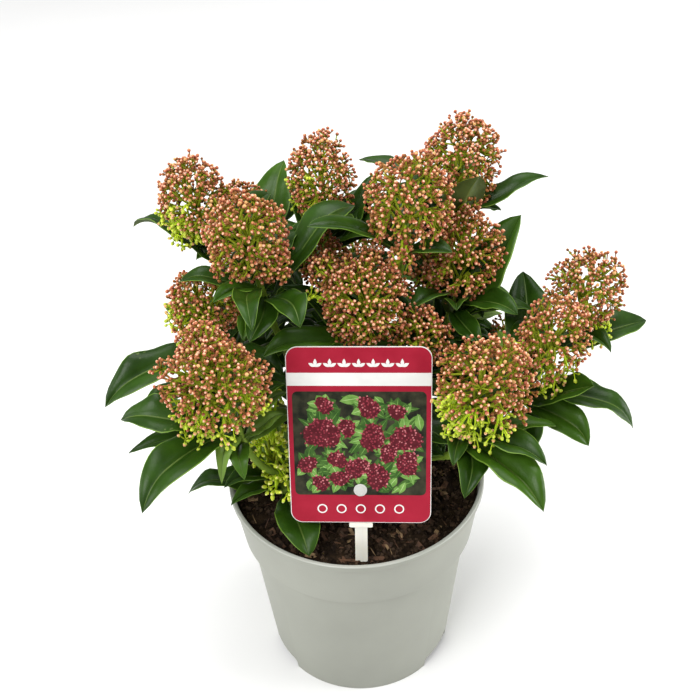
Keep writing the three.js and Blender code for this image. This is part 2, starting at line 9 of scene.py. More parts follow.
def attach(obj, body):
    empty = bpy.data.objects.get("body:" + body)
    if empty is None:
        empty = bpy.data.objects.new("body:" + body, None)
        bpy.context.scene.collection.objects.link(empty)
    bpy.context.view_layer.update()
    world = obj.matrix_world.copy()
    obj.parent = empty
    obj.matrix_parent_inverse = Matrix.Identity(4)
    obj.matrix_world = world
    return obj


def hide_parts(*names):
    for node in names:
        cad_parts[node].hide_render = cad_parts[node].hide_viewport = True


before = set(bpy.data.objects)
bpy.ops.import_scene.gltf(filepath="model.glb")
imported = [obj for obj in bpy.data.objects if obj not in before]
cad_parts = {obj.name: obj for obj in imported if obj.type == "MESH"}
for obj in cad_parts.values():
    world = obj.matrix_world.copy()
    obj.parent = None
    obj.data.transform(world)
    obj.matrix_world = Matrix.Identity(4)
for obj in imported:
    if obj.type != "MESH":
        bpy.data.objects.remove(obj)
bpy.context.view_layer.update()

# ---- Camera
# It stands a little over half a metre in front of the pot and looks down on it,
# tipped about two degrees to one side.
EYE = Vector((0.0, -0.57673, 0.72442))
LOOK = Vector((-0.001532, 0.794071, -0.607823))
CAMERA_TIP = math.radians(-2.21)
LENS_MM = 54.77
SENSOR_MM = 36.0

level = LOOK.cross(Vector((0, 0, 1))).normalized()
lifted = level.cross(LOOK).normalized()
camera_right = level * math.cos(CAMERA_TIP) + lifted * math.sin(CAMERA_TIP)
camera_up = lifted * math.cos(CAMERA_TIP) - level * math.sin(CAMERA_TIP)
camera_data = bpy.data.cameras.new("camera")
camera_data.lens = LENS_MM
camera_data.sensor_width = SENSOR_MM
camera_data.clip_start = 0.05
camera = bpy.data.objects.new("camera", camera_data)
turn = Matrix((camera_right, camera_up, -LOOK)).transposed().to_4x4()
camera.matrix_world = Matrix.Translation(EYE) @ turn
bpy.context.scene.collection.objects.link(camera)
bpy.context.scene.camera = camera
bpy.context.scene.view_settings.view_transform = "Standard"

# ---- Pot
# A round nursery pot, injection moulded in thin matt plastic of a pale sage grey. It has a rolled
# rim, a collar that steps in above the tapering body, and three low arches cut in its foot.
MM = 0.001
POT_HEIGHT, RIM_RADIUS, BASE_RADIUS = 170.0, 95.0, 71.0
COLLAR_Z, COLLAR_RADIUS = 125.0, 88.0
STEP_IN, STEP_DEPTH = 4.6, 2.4
POT_WALL, POT_FLOOR = 1.8, 2.0
FOOT_RING, FOOT_LIFT = 7.0, 0.9
LIP_HEIGHT, LIP_PROUD, LIP_FLAT = 4.6, 1.8, 3.0
# Depth of the band at the top of the rim that is painted lighter: a painted highlight.
LIP_HIGHLIGHT_BAND = 0.9
POT_SIDES = 180
ARCH_WIDTH, ARCH_HEIGHT, ARCH_CORNER = 36.0, 9.5, 4.0
ARCH_ANGLES = (-32.0, 88.0, -152.0)
ARCH_INNER, ARCH_OUTER = 60.0, BASE_RADIUS + 12


def surface(name, low, high, scale=60.0, rough=0.5, rough_swing=0.08, relief=0.1, relief_scale=None,
            stretch=(1, 1, 1), gloss=0.5, step=0.0006, split=(0.35, 0.68), through=0.0):
    """A finish mottled between two colours (linear), with its own roughness and fine relief."""
    made = bpy.data.materials.new(name)
    made.use_nodes = True
    nodes, links = made.node_tree.nodes, made.node_tree.links
    shader = nodes["Principled BSDF"]
    place = nodes.new("ShaderNodeTexCoord")
    stretched = nodes.new("ShaderNodeMapping")
    stretched.inputs["Scale"].default_value = stretch
    links.new(place.outputs["Object"], stretched.inputs["Vector"])
    cloud = nodes.new("ShaderNodeTexNoise")
    cloud.inputs["Scale"].default_value = scale
    cloud.inputs["Detail"].default_value = 5.0
    links.new(stretched.outputs["Vector"], cloud.inputs["Vector"])
    ramp = nodes.new("ShaderNodeValToRGB")
    for element, position, colour in zip(ramp.color_ramp.elements, split, (low, high)):
        element.position = position
        element.color = (*colour, 1.0)
    links.new(cloud.outputs["Fac"], ramp.inputs["Fac"])
    links.new(ramp.outputs["Color"], shader.inputs["Base Color"])
    spread = nodes.new("ShaderNodeMapRange")
    spread.inputs["To Min"].default_value = rough - rough_swing
    spread.inputs["To Max"].default_value = rough + rough_swing
    links.new(cloud.outputs["Fac"], spread.inputs["Value"])
    links.new(spread.outputs["Result"], shader.inputs["Roughness"])
    grain = nodes.new("ShaderNodeTexNoise")
    grain.inputs["Scale"].default_value = relief_scale or scale * 6
    grain.inputs["Detail"].default_value = 4.0
    links.new(stretched.outputs["Vector"], grain.inputs["Vector"])
    bump = nodes.new("ShaderNodeBump")
    bump.inputs["Strength"].default_value = relief
    bump.inputs["Distance"].default_value = step
    links.new(grain.outputs["Fac"], bump.inputs["Height"])
    links.new(bump.outputs["Normal"], shader.inputs["Normal"])
    shader.inputs["Specular IOR Level"].default_value = gloss
    if through:
        shader.inputs["Subsurface Weight"].default_value = through
        shader.inputs["Subsurface Radius"].default_value = (0.003, 0.002, 0.001)
        shader.inputs["Subsurface Scale"].default_value = 0.5
    return made


def piece(name, points, faces, finishes, finish_of=None, sharp=None):
    """One mesh object. points: n x 3 in millimetres; faces: arrays of corners, one array a face size."""
    mesh = bpy.data.meshes.new(name)
    mesh.vertices.add(len(points))
    mesh.vertices.foreach_set("co", (np.asarray(points, dtype=np.float64) * MM).ravel())
    faces = [np.asarray(f, dtype=np.int32) for f in faces if len(f)]
    corners = np.concatenate([f.ravel() for f in faces])
    sizes = np.concatenate([np.full(len(f), f.shape[1]) for f in faces])
    mesh.loops.add(len(corners))
    mesh.loops.foreach_set("vertex_index", corners)
    mesh.polygons.add(len(sizes))
    mesh.polygons.foreach_set("loop_start", np.concatenate([[0], np.cumsum(sizes)[:-1]]))
    if finish_of is not None:
        mesh.polygons.foreach_set("material_index", np.asarray(finish_of, dtype=np.int32))
    for one in finishes:
        mesh.materials.append(one)
    mesh.update(calc_edges=True)
    mesh.validate()
    mesh.polygons.foreach_set("use_smooth", np.ones(len(mesh.polygons), dtype=bool))
    if sharp is not None:
        mesh.set_sharp_from_angle(angle=math.radians(sharp))
    made = bpy.data.objects.new(name, mesh)
    bpy.context.scene.collection.objects.link(made)
    return made


def turned_body(profile, sides):
    """Points and faces of a profile (radius, height) turned about Z; ends on the axis are closed."""
    points, rings = [], []
    for radius, height in profile:
        if radius < 1e-6:
            rings.append([len(points)])
            points.append((0.0, 0.0, height))
            continue
        rings.append(list(range(len(points), len(points) + sides)))
        for k in range(sides):
            angle = 2 * math.pi * k / sides
            points.append((radius * math.cos(angle), radius * math.sin(angle), height))
    threes, fours = [], []
    for low, high in zip(rings, rings[1:]):
        for k in range(sides):
            n = (k + 1) % sides
            if len(low) == 1:
                threes.append((low[0], high[n], high[k]))
            elif len(high) == 1:
                threes.append((low[k], low[n], high[0]))
            else:
                fours.append((low[k], low[n], high[n], high[k]))
    return points, [threes, fours]


def rounded(profile, steps=4):
    """A profile of (radius, height, rounding) with each inner corner rounded off by its own reach."""
    out = [profile[0][:2]]
    for before, corner, after in zip(profile, profile[1:], profile[2:]):
        a, b, c = (np.array(p[:2], dtype=float) for p in (before, corner, after))
        cut = min(corner[2], 0.45 * np.linalg.norm(b - a), 0.45 * np.linalg.norm(c - b))
        first = b + (a - b) / np.linalg.norm(a - b) * cut
        last = b + (c - b) / np.linalg.norm(c - b) * cut
        for i in range(steps + 1):
            t = i / steps
            out.append(tuple((1 - t) ** 2 * first + 2 * t * (1 - t) * b + t * t * last))
    return out + [profile[-1][:2]]


pot_plastic = surface("pot_plastic", (0.254, 0.262, 0.222), (0.298, 0.306, 0.262), scale=14.0, rough=0.5,
                      relief=0.12, relief_scale=900.0, gloss=0.45, step=0.0002, split=(0.3, 0.7))
# The top band of the rim is painted a lighter grey as a painted highlight; its lower roughness and higher
# gloss are the plastic's own.
pot_lip_painted_highlight = surface("pot_lip_painted_highlight", (0.345, 0.355, 0.315), (0.395, 0.405, 0.365), scale=30.0, rough=0.36,
                  relief=0.08, relief_scale=900.0, gloss=0.6, step=0.0002, split=(0.3, 0.7))
body_top = COLLAR_RADIUS - STEP_IN - 0.2
shrink = (COLLAR_RADIUS - STEP_IN - BASE_RADIUS) / COLLAR_Z
pot_profile = rounded([
    (0, FOOT_LIFT, 0), (BASE_RADIUS - FOOT_RING - 2.0, FOOT_LIFT, 0.4), (BASE_RADIUS - FOOT_RING, 0.0, 0.4),
    (BASE_RADIUS, 0.0, 0.8), (body_top, COLLAR_Z - STEP_DEPTH, 0.8), (COLLAR_RADIUS, COLLAR_Z, 0.45),
    (RIM_RADIUS - LIP_PROUD, POT_HEIGHT - LIP_HEIGHT - 0.9, 0.6), (RIM_RADIUS, POT_HEIGHT - LIP_HEIGHT, 0.6),
    (RIM_RADIUS, POT_HEIGHT, 1.1), (RIM_RADIUS - LIP_FLAT, POT_HEIGHT, 0.9),
    (RIM_RADIUS - LIP_PROUD - POT_WALL, POT_HEIGHT - LIP_HEIGHT - 1.9, 0.8),
    (COLLAR_RADIUS - POT_WALL, COLLAR_Z + 1, 0.8), (body_top - POT_WALL, COLLAR_Z - STEP_DEPTH + 1, 0.8),
    (BASE_RADIUS + shrink * POT_FLOOR - POT_WALL, POT_FLOOR, 0.8), (0, POT_FLOOR, 0),
])
pot_points, pot_faces = turned_body(pot_profile, POT_SIDES)
heights = np.array(pot_points)[:, 2]
painted_highlight_on_lip = np.concatenate([heights[np.array(f)].min(axis=1) > POT_HEIGHT - LIP_HIGHLIGHT_BAND for f in pot_faces])
pot = piece("pot_shell", pot_points, pot_faces, [pot_plastic, pot_lip_painted_highlight], painted_highlight_on_lip.astype(int))

arch = [(-ARCH_WIDTH / 2, -2.0), (ARCH_WIDTH / 2, -2.0)]
for sign in (1, -1):
    for i in range(7):
        a = math.pi / 2 * (i / 6 if sign > 0 else 1 - i / 6)
        arch.append((sign * (ARCH_WIDTH / 2 - ARCH_CORNER + ARCH_CORNER * math.cos(a)),
                     ARCH_HEIGHT - ARCH_CORNER + ARCH_CORNER * math.sin(a)))
for angle in ARCH_ANGLES:
    out = Vector((math.cos(math.radians(angle)), math.sin(math.radians(angle)), 0))
    along = Vector((-out.y, out.x, 0))
    ends = [out * reach + along * x + Vector((0, 0, z))
            for reach in (ARCH_INNER, ARCH_OUTER) for x, z in arch]
    n = len(arch)
    sides = [(k, (k + 1) % n, n + (k + 1) % n, n + k) for k in range(n)]
    caps = [tuple(range(n))[::-1]], [tuple(range(n, 2 * n))]
    cutter = piece("arch_cutter", ends, [sides, *caps], [pot_plastic])
    cut = pot.modifiers.new("foot_arch", "BOOLEAN")
    cut.operation, cut.solver, cut.object = "DIFFERENCE", "EXACT", cutter
    shaped = bpy.data.meshes.new_from_object(pot.evaluated_get(bpy.context.evaluated_depsgraph_get()))
    pot.modifiers.clear()
    pot.data = shaped
    bpy.data.objects.remove(cutter)
pot.data.set_sharp_from_angle(angle=math.radians(40))
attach(pot, "root")
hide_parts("pot")

# ---- Soil
# Moist potting mix of peat and shredded bark that fills the pot to a finger's width below the rim.
# Its top is rough, with bark chips, fibres and crumbs lying on it.
SOIL_TOP = 160.0
SOIL_FIT = POT_WALL + 0.5
SOIL_FOOT = POT_FLOOR + 0.3
SOIL_SIDES = 144
CHIPS, CRUMBS = 620, 2600
CHIP_REACH, CRUMB_REACH = 84.0, 88.5
CHIP_HALF = ((1.6, 6.0), (0.8, 2.4), (0.25, 0.7))
FIBRE_SHARE = 0.25
FIBRE_LONG, FIBRE_WIDE, FIBRE_THIN = (3.0, 8.0), (0.25, 0.5), 0.25
CRUMB_HALF = (0.5, 1.3)


def soil_height(x, y):
    """Height of the soil's rough top, in millimetres."""
    r = math.hypot(x, y)
    low = 1.6 * max(0.0, (r - 45.0) / 45.0)
    lumps = 1.9 * noise.noise(Vector((x, y, 3.0)) * 0.055) + 1.3 * noise.noise(Vector((x, y, 9.0)) * 0.19)
    return SOIL_TOP - low + lumps + 0.7 * noise.noise(Vector((x, y, 1.0)) * 0.55)


def band(rows, sides, start=0):
    """Four-sided faces between rings of points that follow one another."""
    a = start + np.arange(rows - 1)[:, None] * sides + np.arange(sides)
    b = start + np.arange(rows - 1)[:, None] * sides + (np.arange(sides) + 1) % sides
    return np.stack([a, b, b + sides, a + sides], axis=2).reshape(-1, 4)


soil_dark = surface("soil_peat", (0.009, 0.005, 0.003), (0.034, 0.020, 0.010), scale=160.0, rough=0.9,
                    relief=0.9, relief_scale=700.0, gloss=0.12, step=0.0012)
soil_mid = surface("soil_crumb", (0.022, 0.013, 0.008), (0.070, 0.042, 0.024), scale=240.0, rough=0.85,
                   relief=0.7, relief_scale=900.0, gloss=0.2, step=0.0008)
bark_red = surface("bark_chip_red", (0.035, 0.016, 0.009), (0.115, 0.055, 0.028), scale=130.0, rough=0.7,
                   relief=0.8, relief_scale=500.0, stretch=(1, 1, 3), gloss=0.3, step=0.0008)
bark_tan = surface("bark_chip_tan", (0.13, 0.080, 0.038), (0.34, 0.22, 0.115), scale=150.0, rough=0.7,
                   relief=0.6, relief_scale=500.0, stretch=(1, 1, 3), gloss=0.3, step=0.0006)
soil_rows = [(r, None) for r in np.linspace(2.2, RIM_RADIUS - 2.6 - SOIL_FIT, 42)]
soil_rows += [(COLLAR_RADIUS - SOIL_FIT, COLLAR_Z + 1), (body_top - SOIL_FIT, COLLAR_Z - STEP_DEPTH + 1),
              (BASE_RADIUS - SOIL_FIT, SOIL_FOOT)]
soil_points = [(0.0, 0.0, soil_height(0, 0))]
for i, (r, z) in enumerate(soil_rows):
    for k in range(SOIL_SIDES):
        a = 2 * math.pi * (k + (0.5 * (i % 2) if z is None else 0.5)) / SOIL_SIDES
        x, y = r * math.cos(a), r * math.sin(a)
        soil_points.append((x, y, soil_height(x, y) if z is None else z))
soil_points.append((0, 0, SOIL_FOOT))
k = np.arange(SOIL_SIDES)
n = (k + 1) % SOIL_SIDES
last = len(soil_points) - 1
soil_threes = np.concatenate([np.stack([0 * k, 1 + k, 1 + n], axis=1),
                              np.stack([last - SOIL_SIDES + k, 0 * k + last, last - SOIL_SIDES + n], axis=1)])
soil = piece("soil_mix", soil_points, [soil_threes, band(len(soil_rows), SOIL_SIDES, 1)[:, (0, 3, 2, 1)]],
             [soil_dark])
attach(soil, "root")
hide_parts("soil")

deal = np.random.default_rng(17)
BLOCK = np.array([(x, y, z) for x in (-1, 1) for y in (-1, 1) for z in (-1, 1)], dtype=float)
BLOCK_FACES = np.array([(0, 1, 3, 2), (4, 6, 7, 5), (0, 4, 5, 1), (2, 3, 7, 6), (0, 2, 6, 4), (1, 5, 7, 3)])
chip_points, chip_finish = [], []
for i in range(CHIPS + CRUMBS):
    chip = i < CHIPS
    r = (CHIP_REACH if chip else CRUMB_REACH) * math.sqrt(deal.random())
    a = 2 * math.pi * deal.random()
    x, y = r * math.cos(a), r * math.sin(a)
    if chip:
        size = np.array([deal.uniform(*span) for span in CHIP_HALF])
        if deal.random() < FIBRE_SHARE:
            size = np.array([deal.uniform(*FIBRE_LONG), deal.uniform(*FIBRE_WIDE), FIBRE_THIN])
    else:
        size = np.array([1, 1, 0.8]) * deal.uniform(*CRUMB_HALF)
    shape = BLOCK * (1 + deal.uniform(-0.28, 0.28, (8, 3))) * size
    tilt = deal.normal(0, 0.22 if chip else 1.0, 2)
    spin = Matrix.Rotation(deal.uniform(0, 6.28), 3, "Z") @ Matrix.Rotation(tilt[0], 3, "X")
    spin = np.array(spin @ Matrix.Rotation(tilt[1], 3, "Y"))
    chip_points.append(shape @ spin.T + (x, y, soil_height(x, y) + size[2] * 0.7))
    pick = deal.random()
    if chip:
        kind = 2 if pick < 0.12 else 1 if pick < 0.62 else 0
    else:
        kind = 0 if pick < 0.5 else 3
    chip_finish += [kind] * len(BLOCK_FACES)
chip_faces = (BLOCK_FACES + 8 * np.arange(CHIPS + CRUMBS)[:, None, None]).reshape(-1, 4)
chips = piece("soil_chips", np.concatenate(chip_points), [chip_faces],
              [soil_dark, bark_red, bark_tan, soil_mid], chip_finish, sharp=35)
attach(chips, "root")
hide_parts("soil")

# ---- Stem and boughs
# A short woody stem flares out of the soil and forks low into a dozen boughs as thick as a pencil.
# Young bark, olive and smooth on the boughs, greyer and finely ridged on the stem.
GAP = 0.3
TRUNK_TOP = (2.0, 1.0, 222.0)
TRUNK_RADII = (12.0, 9.4, 8.0, 6.8, 5.4)
TRUNK_LEVELS = (0.0, 0.06, 0.2, 0.55, 1.0)
BOUGH_ROOT, BOUGH_TIP = 3.4, 2.7
HEAD_LEAN, HEAD_CLEAR = 0.0025, 4.0
ALL_GREEN = ((0, 0, 1), 9.0)

# Each mass of foliage: its name, its bough's height on the stem and the bough's tip, and its shoots.
# Each shoot: its flower head's centre, half width and half height, the length of its leafy neck, its
# bare sector or None, how open the head is (below 0: loose), the part of the head still green
# (direction and spread), and its set leaves as azimuth, rise, chord, arch and drop below the head.
MASSES = [
    ("front_left", 177, (-34, -22, 187), [
        ((-86.5, -60, 307), 34, 35, 26, (110, 375), 0.0, ((-0.5, -0.40, -0.75), 0.23), [
            (-128, 7, 90, 30, 10), (-178, 16, 76, 25, 6), (-167, 3, 73, 30, 14), (-104, 17, 52, 30, 14),
            (100, 20, 58, 30, 16)]),
        ((-59.3, -30, 221), 15, 35, 6, (120, 330), 1.0, ALL_GREEN, [
            (-78, -5, 66, 20, 6), (-179, 11, 70, 25, 4), (83, 50, 76, -20, 5), (-134, 30, 52, 20, 3)]),
    ]),
    ("left", 187, (-46, 6, 222), [
        ((-98, 12, 316.5), 29.5, 27, 24, (140, 300), -0.15, ((-0.8, -0.2, -0.3), 0.25), [
            (-156, -8, 90, 25, 8), (-28, 12, 58, 30, 10)]),
    ]),
    ("left_top", 208, (-36, 3, 262), [
        ((-64.3, 5, 372.5), 29.5, 31.5, 24, None, 0.0, None, [
            (34, 44, 92, 25, 20), (-96, 5, 54, 15, 10), (-129, 26, 48, 40, 8), (178, 20, 58, 25, 10),
            (-64, 20, 60, 35, 14)]),
    ]),
    ("left_back", 192, (-48, 44, 250), [
        ((-103.2, 60, 369), 26.5, 30, 22, (95, 250), -0.4, ((-0.5, -0.5, -0.7), 0.34), [
            (150, 20, 76, 35, 18)]),
        ((-73.2, 96, 341), 19.5, 22, 20, (60, 215), -0.25, None, [(66, 50, 72, -25, 10)]),
    ]),
    ("top_left", 198, (-10, 36, 235), [
        ((-17.4, 80, 371.5), 24.5, 33, 22, None, -0.3, ((-0.6, -0.5, -0.6), 0.12), [
            (136, 54, 56, -25, 16), (36, 48, 66, -25, 18), (175, 20, 54, 30, 10)]),
        ((-16.2, 44, 326.5), 18.5, 22, 20, None, -0.2, None, [(-140, 2, 70, 35, 8)]),
    ]),
    ("centre", 0, None, [
        ((8.7, 0, 325.5), 30, 34.5, 24, None, -0.2, None, [
            (150, 40, 82, 20, 18), (-162, 15, 76, 35, 2)]),
        ((46.5, -4, 296), 21, 23, 16, None, 0.0, None, [(4, 26, 46, 35, 8), (66, 20, 70, 15, 6)]),
    ]),
    ("top", 205, (18, 40, 250), [
        ((40.2, 26, 383), 31, 32, 16, (-120, 50), 0.0, None, [(-156, 32, 84, 30, 6), (-26, 30, 50, 45, 6)]),
    ]),
    ("right_back", 190, (46, 34, 235), [
        ((79.4, 40, 330), 28, 32, 24, None, 0.0, None, [
            (33, 50, 92, -22, 20), (-38, 26, 68, 40, 6), (-72, 5, 48, 15, 6), (-5, 10, 66, 35, 16)]),
        ((81.7, 90, 378.5), 27, 33, 22, (-20, 75), -0.35, None, [
            (6, 25, 69, -25, 2), (-70, 58, 80, -22, 18), (0, 14, 44, 30, 4)]),
    ]),
    ("right_front", 188, (38, -24, 204), [
        ((82, -57, 293), 33, 39, 24, (-140, 50), 0.0, ((-0.30, -0.60, -0.75), 0.40), [
            (-59, 8, 84, 30, 10), (-42, 22, 74, 30, 6), (-4, 12, 62, 35, 8), (-95, 14, 62, 40, 14),
            (-112, 15, 46, 45, 4), (34, 30, 62, 25, 12)]),
    ]),
    ("right", 176, (80, 4, 216), [
        ((133, -16, 297), 26, 33, 24, (-80, 60), 0.05, ((0.3, -0.4, -0.8), 0.28), [
            (84, 30, 94, -25, 10), (-21, -1, 78, 25, 10), (-42, -3, 58, 25, 20), (-42, 38, 66, -15, 18)]),
        ((164.8, 32, 305.6), 27, 28, 22, (-90, 165), -0.12, None, [
            (12, 10, 72, 15, 22), (-56, 22, 50, 25, 10)]),
    ]),
    ("back_left", 173, (-50, 62, 192), [
        ((-75, 125, 275), 27, 30, 22, None, 0.2, None, []),
        ((-112, 78, 238), 24, 26, 12, None, 0.2, None, []),
    ]),
    ("back", 181, (2, 60, 205), [((5, 138, 285), 28, 30, 24, None, 0.1, None, [])]),
    ("back_right", 172, (56, 54, 192), [
        ((80, 125, 270), 27, 30, 20, (5, 50), 0.2, None, []),
        ((130, 75, 232), 24, 26, 10, None, 0.2, None, []),
    ]),
]


def unit(v):
    v = np.asarray(v, dtype=float)
    return v / np.linalg.norm(v)


def bend(a, b, c, steps):
    """Points of a quadratic curve from a to c, drawn towards b."""
    t = np.linspace(0, 1, steps + 1)[:, None]
    return (1 - t) ** 2 * a + 2 * t * (1 - t) * b + t * t * c


def limb(path, radii, sides, ridges=0.0, waist=6.0):
    """Points and faces of a tapered round limb, with the bark's low ridges in its surface."""
    path = np.asarray(path, dtype=float)
    along = np.gradient(path, axis=0)
    along /= np.linalg.norm(along, axis=1)[:, None]
    across = np.array([1.0, 0, 0]) if abs(along[0][2]) > 0.9 else np.array([0, 0, 1.0])
    points = []
    for centre, ahead, radius in zip(path, along, radii):
        across = unit(across - ahead * np.dot(across, ahead))
        over = np.cross(ahead, across)
        for a in 2 * np.pi * np.arange(sides) / sides:
            around = Vector((math.cos(a) * 2.2, math.sin(a) * 2.2, centre[2] / waist))
            r = radius + ridges * (noise.noise(around * 1.7) + 0.5 * noise.noise(around * 4.3))
            points.append(centre + r * (math.cos(a) * across + math.sin(a) * over))
    points += [path[0], path[-1]]
    end = len(path) * sides
    k = np.arange(sides)
    n = (k + 1) % sides
    foot = np.stack([np.full(sides, end), n, k], axis=1)
    head = np.stack([np.full(sides, end + 1), end - sides + k, end - sides + n], axis=1)
    return np.array(points), [np.concatenate([foot, head]), band(len(path), sides)]


def joined(parts):
    """Several (points, [threes, fours], finish) put into one set of points, faces and finishes."""
    points, threes, fours, finish3, finish4, at = [], [], [], [], [], 0
    for p, (t, f), finish in parts:
        t = np.asarray(t, dtype=np.int64).reshape(-1, 3)
        f = np.asarray(f, dtype=np.int64).reshape(-1, 4)
        points.append(p)
        threes.append(t + at)
        fours.append(f + at)
        kind3, kind4 = finish if isinstance(finish, tuple) else (finish, finish)
        finish3.append(np.broadcast_to(kind3, len(t)))
        finish4.append(np.broadcast_to(kind4, len(f)))
        at += len(p)
    return (np.concatenate(points), [np.concatenate(threes), np.concatenate(fours)],
            np.concatenate(finish3 + finish4))


stem_bark = surface("stem_bark", (0.060, 0.045, 0.026), (0.20, 0.155, 0.095), scale=90.0, rough=0.8,
                    relief=0.9, relief_scale=260.0, stretch=(1, 1, 0.35), gloss=0.25, step=0.0012)
bough_bark = surface("bough_bark", (0.085, 0.075, 0.028), (0.19, 0.175, 0.065), scale=110.0, rough=0.62,
                     relief=0.5, relief_scale=380.0, stretch=(1, 1, 0.5), gloss=0.35, step=0.0006)
stem_foot = np.array((0.0, 0.0, SOIL_TOP + GAP))
stem_top = np.array(TRUNK_TOP)
levels = np.linspace(-0.05, 1, 34)
stem_points, stem_faces = limb(stem_foot + (stem_top - stem_foot) * levels[:, None],
                               np.interp(levels, TRUNK_LEVELS, TRUNK_RADII), sides=28, ridges=0.75, waist=5.0)
stem = piece("stem", stem_points, stem_faces, [stem_bark], sharp=60)
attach(stem, "root")
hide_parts("trunk")

shoots, bough_parts = [], []
limbs = [("trunk", np.array([stem_foot + (stem_top - stem_foot) * t for t in TRUNK_LEVELS]))]
for name, height, tip, rows in MASSES:
    if tip is not None:
        tip = np.array(tip, dtype=float)
        root = stem_foot + (stem_top - stem_foot) * (height - SOIL_TOP) / (TRUNK_TOP[2] - SOIL_TOP)
        knee = np.array((tip[0] * 0.72, tip[1] * 0.72, height + (tip[2] - height) * 0.3))
        rough_path = bend(root, knee, tip, 3)
        limbs.append((name, rough_path))
        onward = unit(tip - rough_path[2])
        foot = tip + onward * GAP
        radii = np.linspace(BOUGH_ROOT, BOUGH_TIP, 15)
        bough_parts.append((*limb(bend(root, knee, tip, 14), radii, sides=14, ridges=0.28, waist=4.0), 0))
    else:
        onward = unit(stem_top - stem_foot)
        foot = stem_top + onward * GAP
    for head, half, tall, neck, bare, open_share, green, set_leaves in rows:
        head = np.array(head, dtype=float)
        axis = unit((head[0] * HEAD_LEAN, head[1] * HEAD_LEAN, 1.0))
        sideways = unit((axis[2], 0, -axis[0]))
        node = head - axis * (tall + HEAD_CLEAR)
        low = node - axis * neck
        start = foot + onward * 8
        reach = np.linalg.norm(low - start)
        knee = (start + onward * 0.45 * reach) * 0.6 + (low - axis * 0.4 * reach) * 0.4
        limbs.append((name, np.array([foot, *bend(start, knee, low, 3), node, head - axis * 0.5 * tall])))
        curve = np.array([foot - onward * 3, *bend(start, knee, low, 14), node - axis * neck * 0.5, node,
                          head - axis * 0.5 * tall])
        shoots.append(dict(mass=name, head=head, half=half, tall=tall, neck=neck, bare=bare, open=open_share,
                           green=green, set=set_leaves, axis=axis, sideways=sideways,
                           forward=np.cross(axis, sideways), node=node, curve=curve, count=0))
bough_points, bough_faces, _ = joined(bough_parts)
boughs = piece("boughs", bough_points, bough_faces, [bough_bark], sharp=60)
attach(boughs, "root")
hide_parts(*["bough_" + name for name, _, tip, _ in MASSES if tip is not None])

# ---- Leaves
# Evergreen leaves as long as a finger, leathery and dark, in a close whorl under each flower head.
# A pale midrib runs down a blade folded up a little, with a thin light edge and a dull underside.
LEAF_STEPS = 24
LEAF_FOLD = 16.0
TESTED = np.array((6, 10, 13, 16, 20, 24))
LEAVES_A_SHOOT, SPARE_LEAVES, LOWER_LEAVES = 8, 4, 12
SET_WIDTH, SET_ROLL = (0.36, 0.41), (-10, 10)
SEEDED_CHORD, SEEDED_RISE, RISE_SWING = (56, 84), (36, -6), (-8, 8)
SEEDED_ARCH, SEEDED_WIDTH, SEEDED_ROLL = (20, 55), (0.35, 0.42), (-14, 14)
LOWER_CHORD, LOWER_RISE = (40, 66), (-5, 42)
LOWER_ARCH, LOWER_WIDTH = (15, 50), (0.36, 0.43)
LOWER_PLACES = (0.95, 0.12)
EXTRA_WIDTH = 0.38
GOLDEN_TURN = 137.5
LEAF_TRIES, SHORTENED = 11, 0.03
SET_SEARCH, SEEDED_SEARCH = 3, 13
OWN_HEAD, OTHER_HEAD = -2.0, 1.5
OWN_LEAF, OTHER_LEAF = 4.0, 8.0
SET_TO_LIMB, SEEDED_TO_LIMB = 8.5, 9.5
RIM_INNER, LOWEST_LEAF = 86.0, POT_HEIGHT - 30
OVER_RIM, OVER_SOIL, BESIDE_RIM = 3.5, 4.0, 3.0
BEHIND_CARD, BESIDE_CARD, PAST_CARD, BESIDE_STRIP = 4.5, 3.0, 4.0, 5.0
CARD_FOOT = (2.0, -72.0, 190.0)
CARD_LEAN, CARD_TURN = 18.0, -3.5
CARD_WIDTH, CARD_HEIGHT = 95.0, 127.0
STRIP_WIDTH, STRIP_BELOW = 8.5, 44.0

card_turn = Matrix.Rotation(math.radians(CARD_TURN), 4, "Z")
card_lean = Matrix.Rotation(math.radians(-CARD_LEAN), 4, "X")
card_place = np.array(Matrix.Translation(CARD_FOOT) @ (card_turn @ card_lean))
card_undone = np.linalg.inv(card_place)
leaves = []
seed = 4201
ROW_FACTOR, ROW_STEP, ROW_LENGTH = 1664525, 1013904223, 4294967296


def chance():
    """The next share from 0 to 1 of the plant's own seeded row, the same in its solids."""
    global seed
    seed = (seed * ROW_FACTOR + ROW_STEP) % ROW_LENGTH
    return seed / ROW_LENGTH


def between(low, high, share):
    return low + (high - low) * share


def rib_of(leaf):
    """The leaf's midrib as points, an arc that arches over from its base."""
    arch = math.radians(leaf["arch"])
    step = leaf["chord"] * (arch / 2) / math.sin(arch / 2) / LEAF_STEPS
    rise = math.radians(leaf["rise"]) + arch * (0.5 - (np.arange(LEAF_STEPS) + 0.5) / LEAF_STEPS)
    azimuth = math.radians(leaf["azimuth"])
    steps = np.stack([np.cos(rise) * math.cos(azimuth), np.cos(rise) * math.sin(azimuth), np.sin(rise)],
                     axis=1)
    return leaf["base"] + np.concatenate([np.zeros((1, 3)), np.cumsum(steps * step, axis=0)])


def blade_frame(leaf, share):
    """Directions across and out of the blade at each share of its length, with its roll."""
    rise = np.radians(leaf["rise"] + leaf["arch"] * (0.5 - share))[:, None]
    azimuth, roll = math.radians(leaf["azimuth"]), math.radians(leaf["roll"])
    side = np.array((-math.sin(azimuth), math.cos(azimuth), 0.0))
    up = np.concatenate([-np.sin(rise) * math.cos(azimuth), -np.sin(rise) * math.sin(azimuth), np.cos(rise)],
                        axis=1)
    return side * math.cos(roll) + up * math.sin(roll), up * math.cos(roll) - side * math.sin(roll)


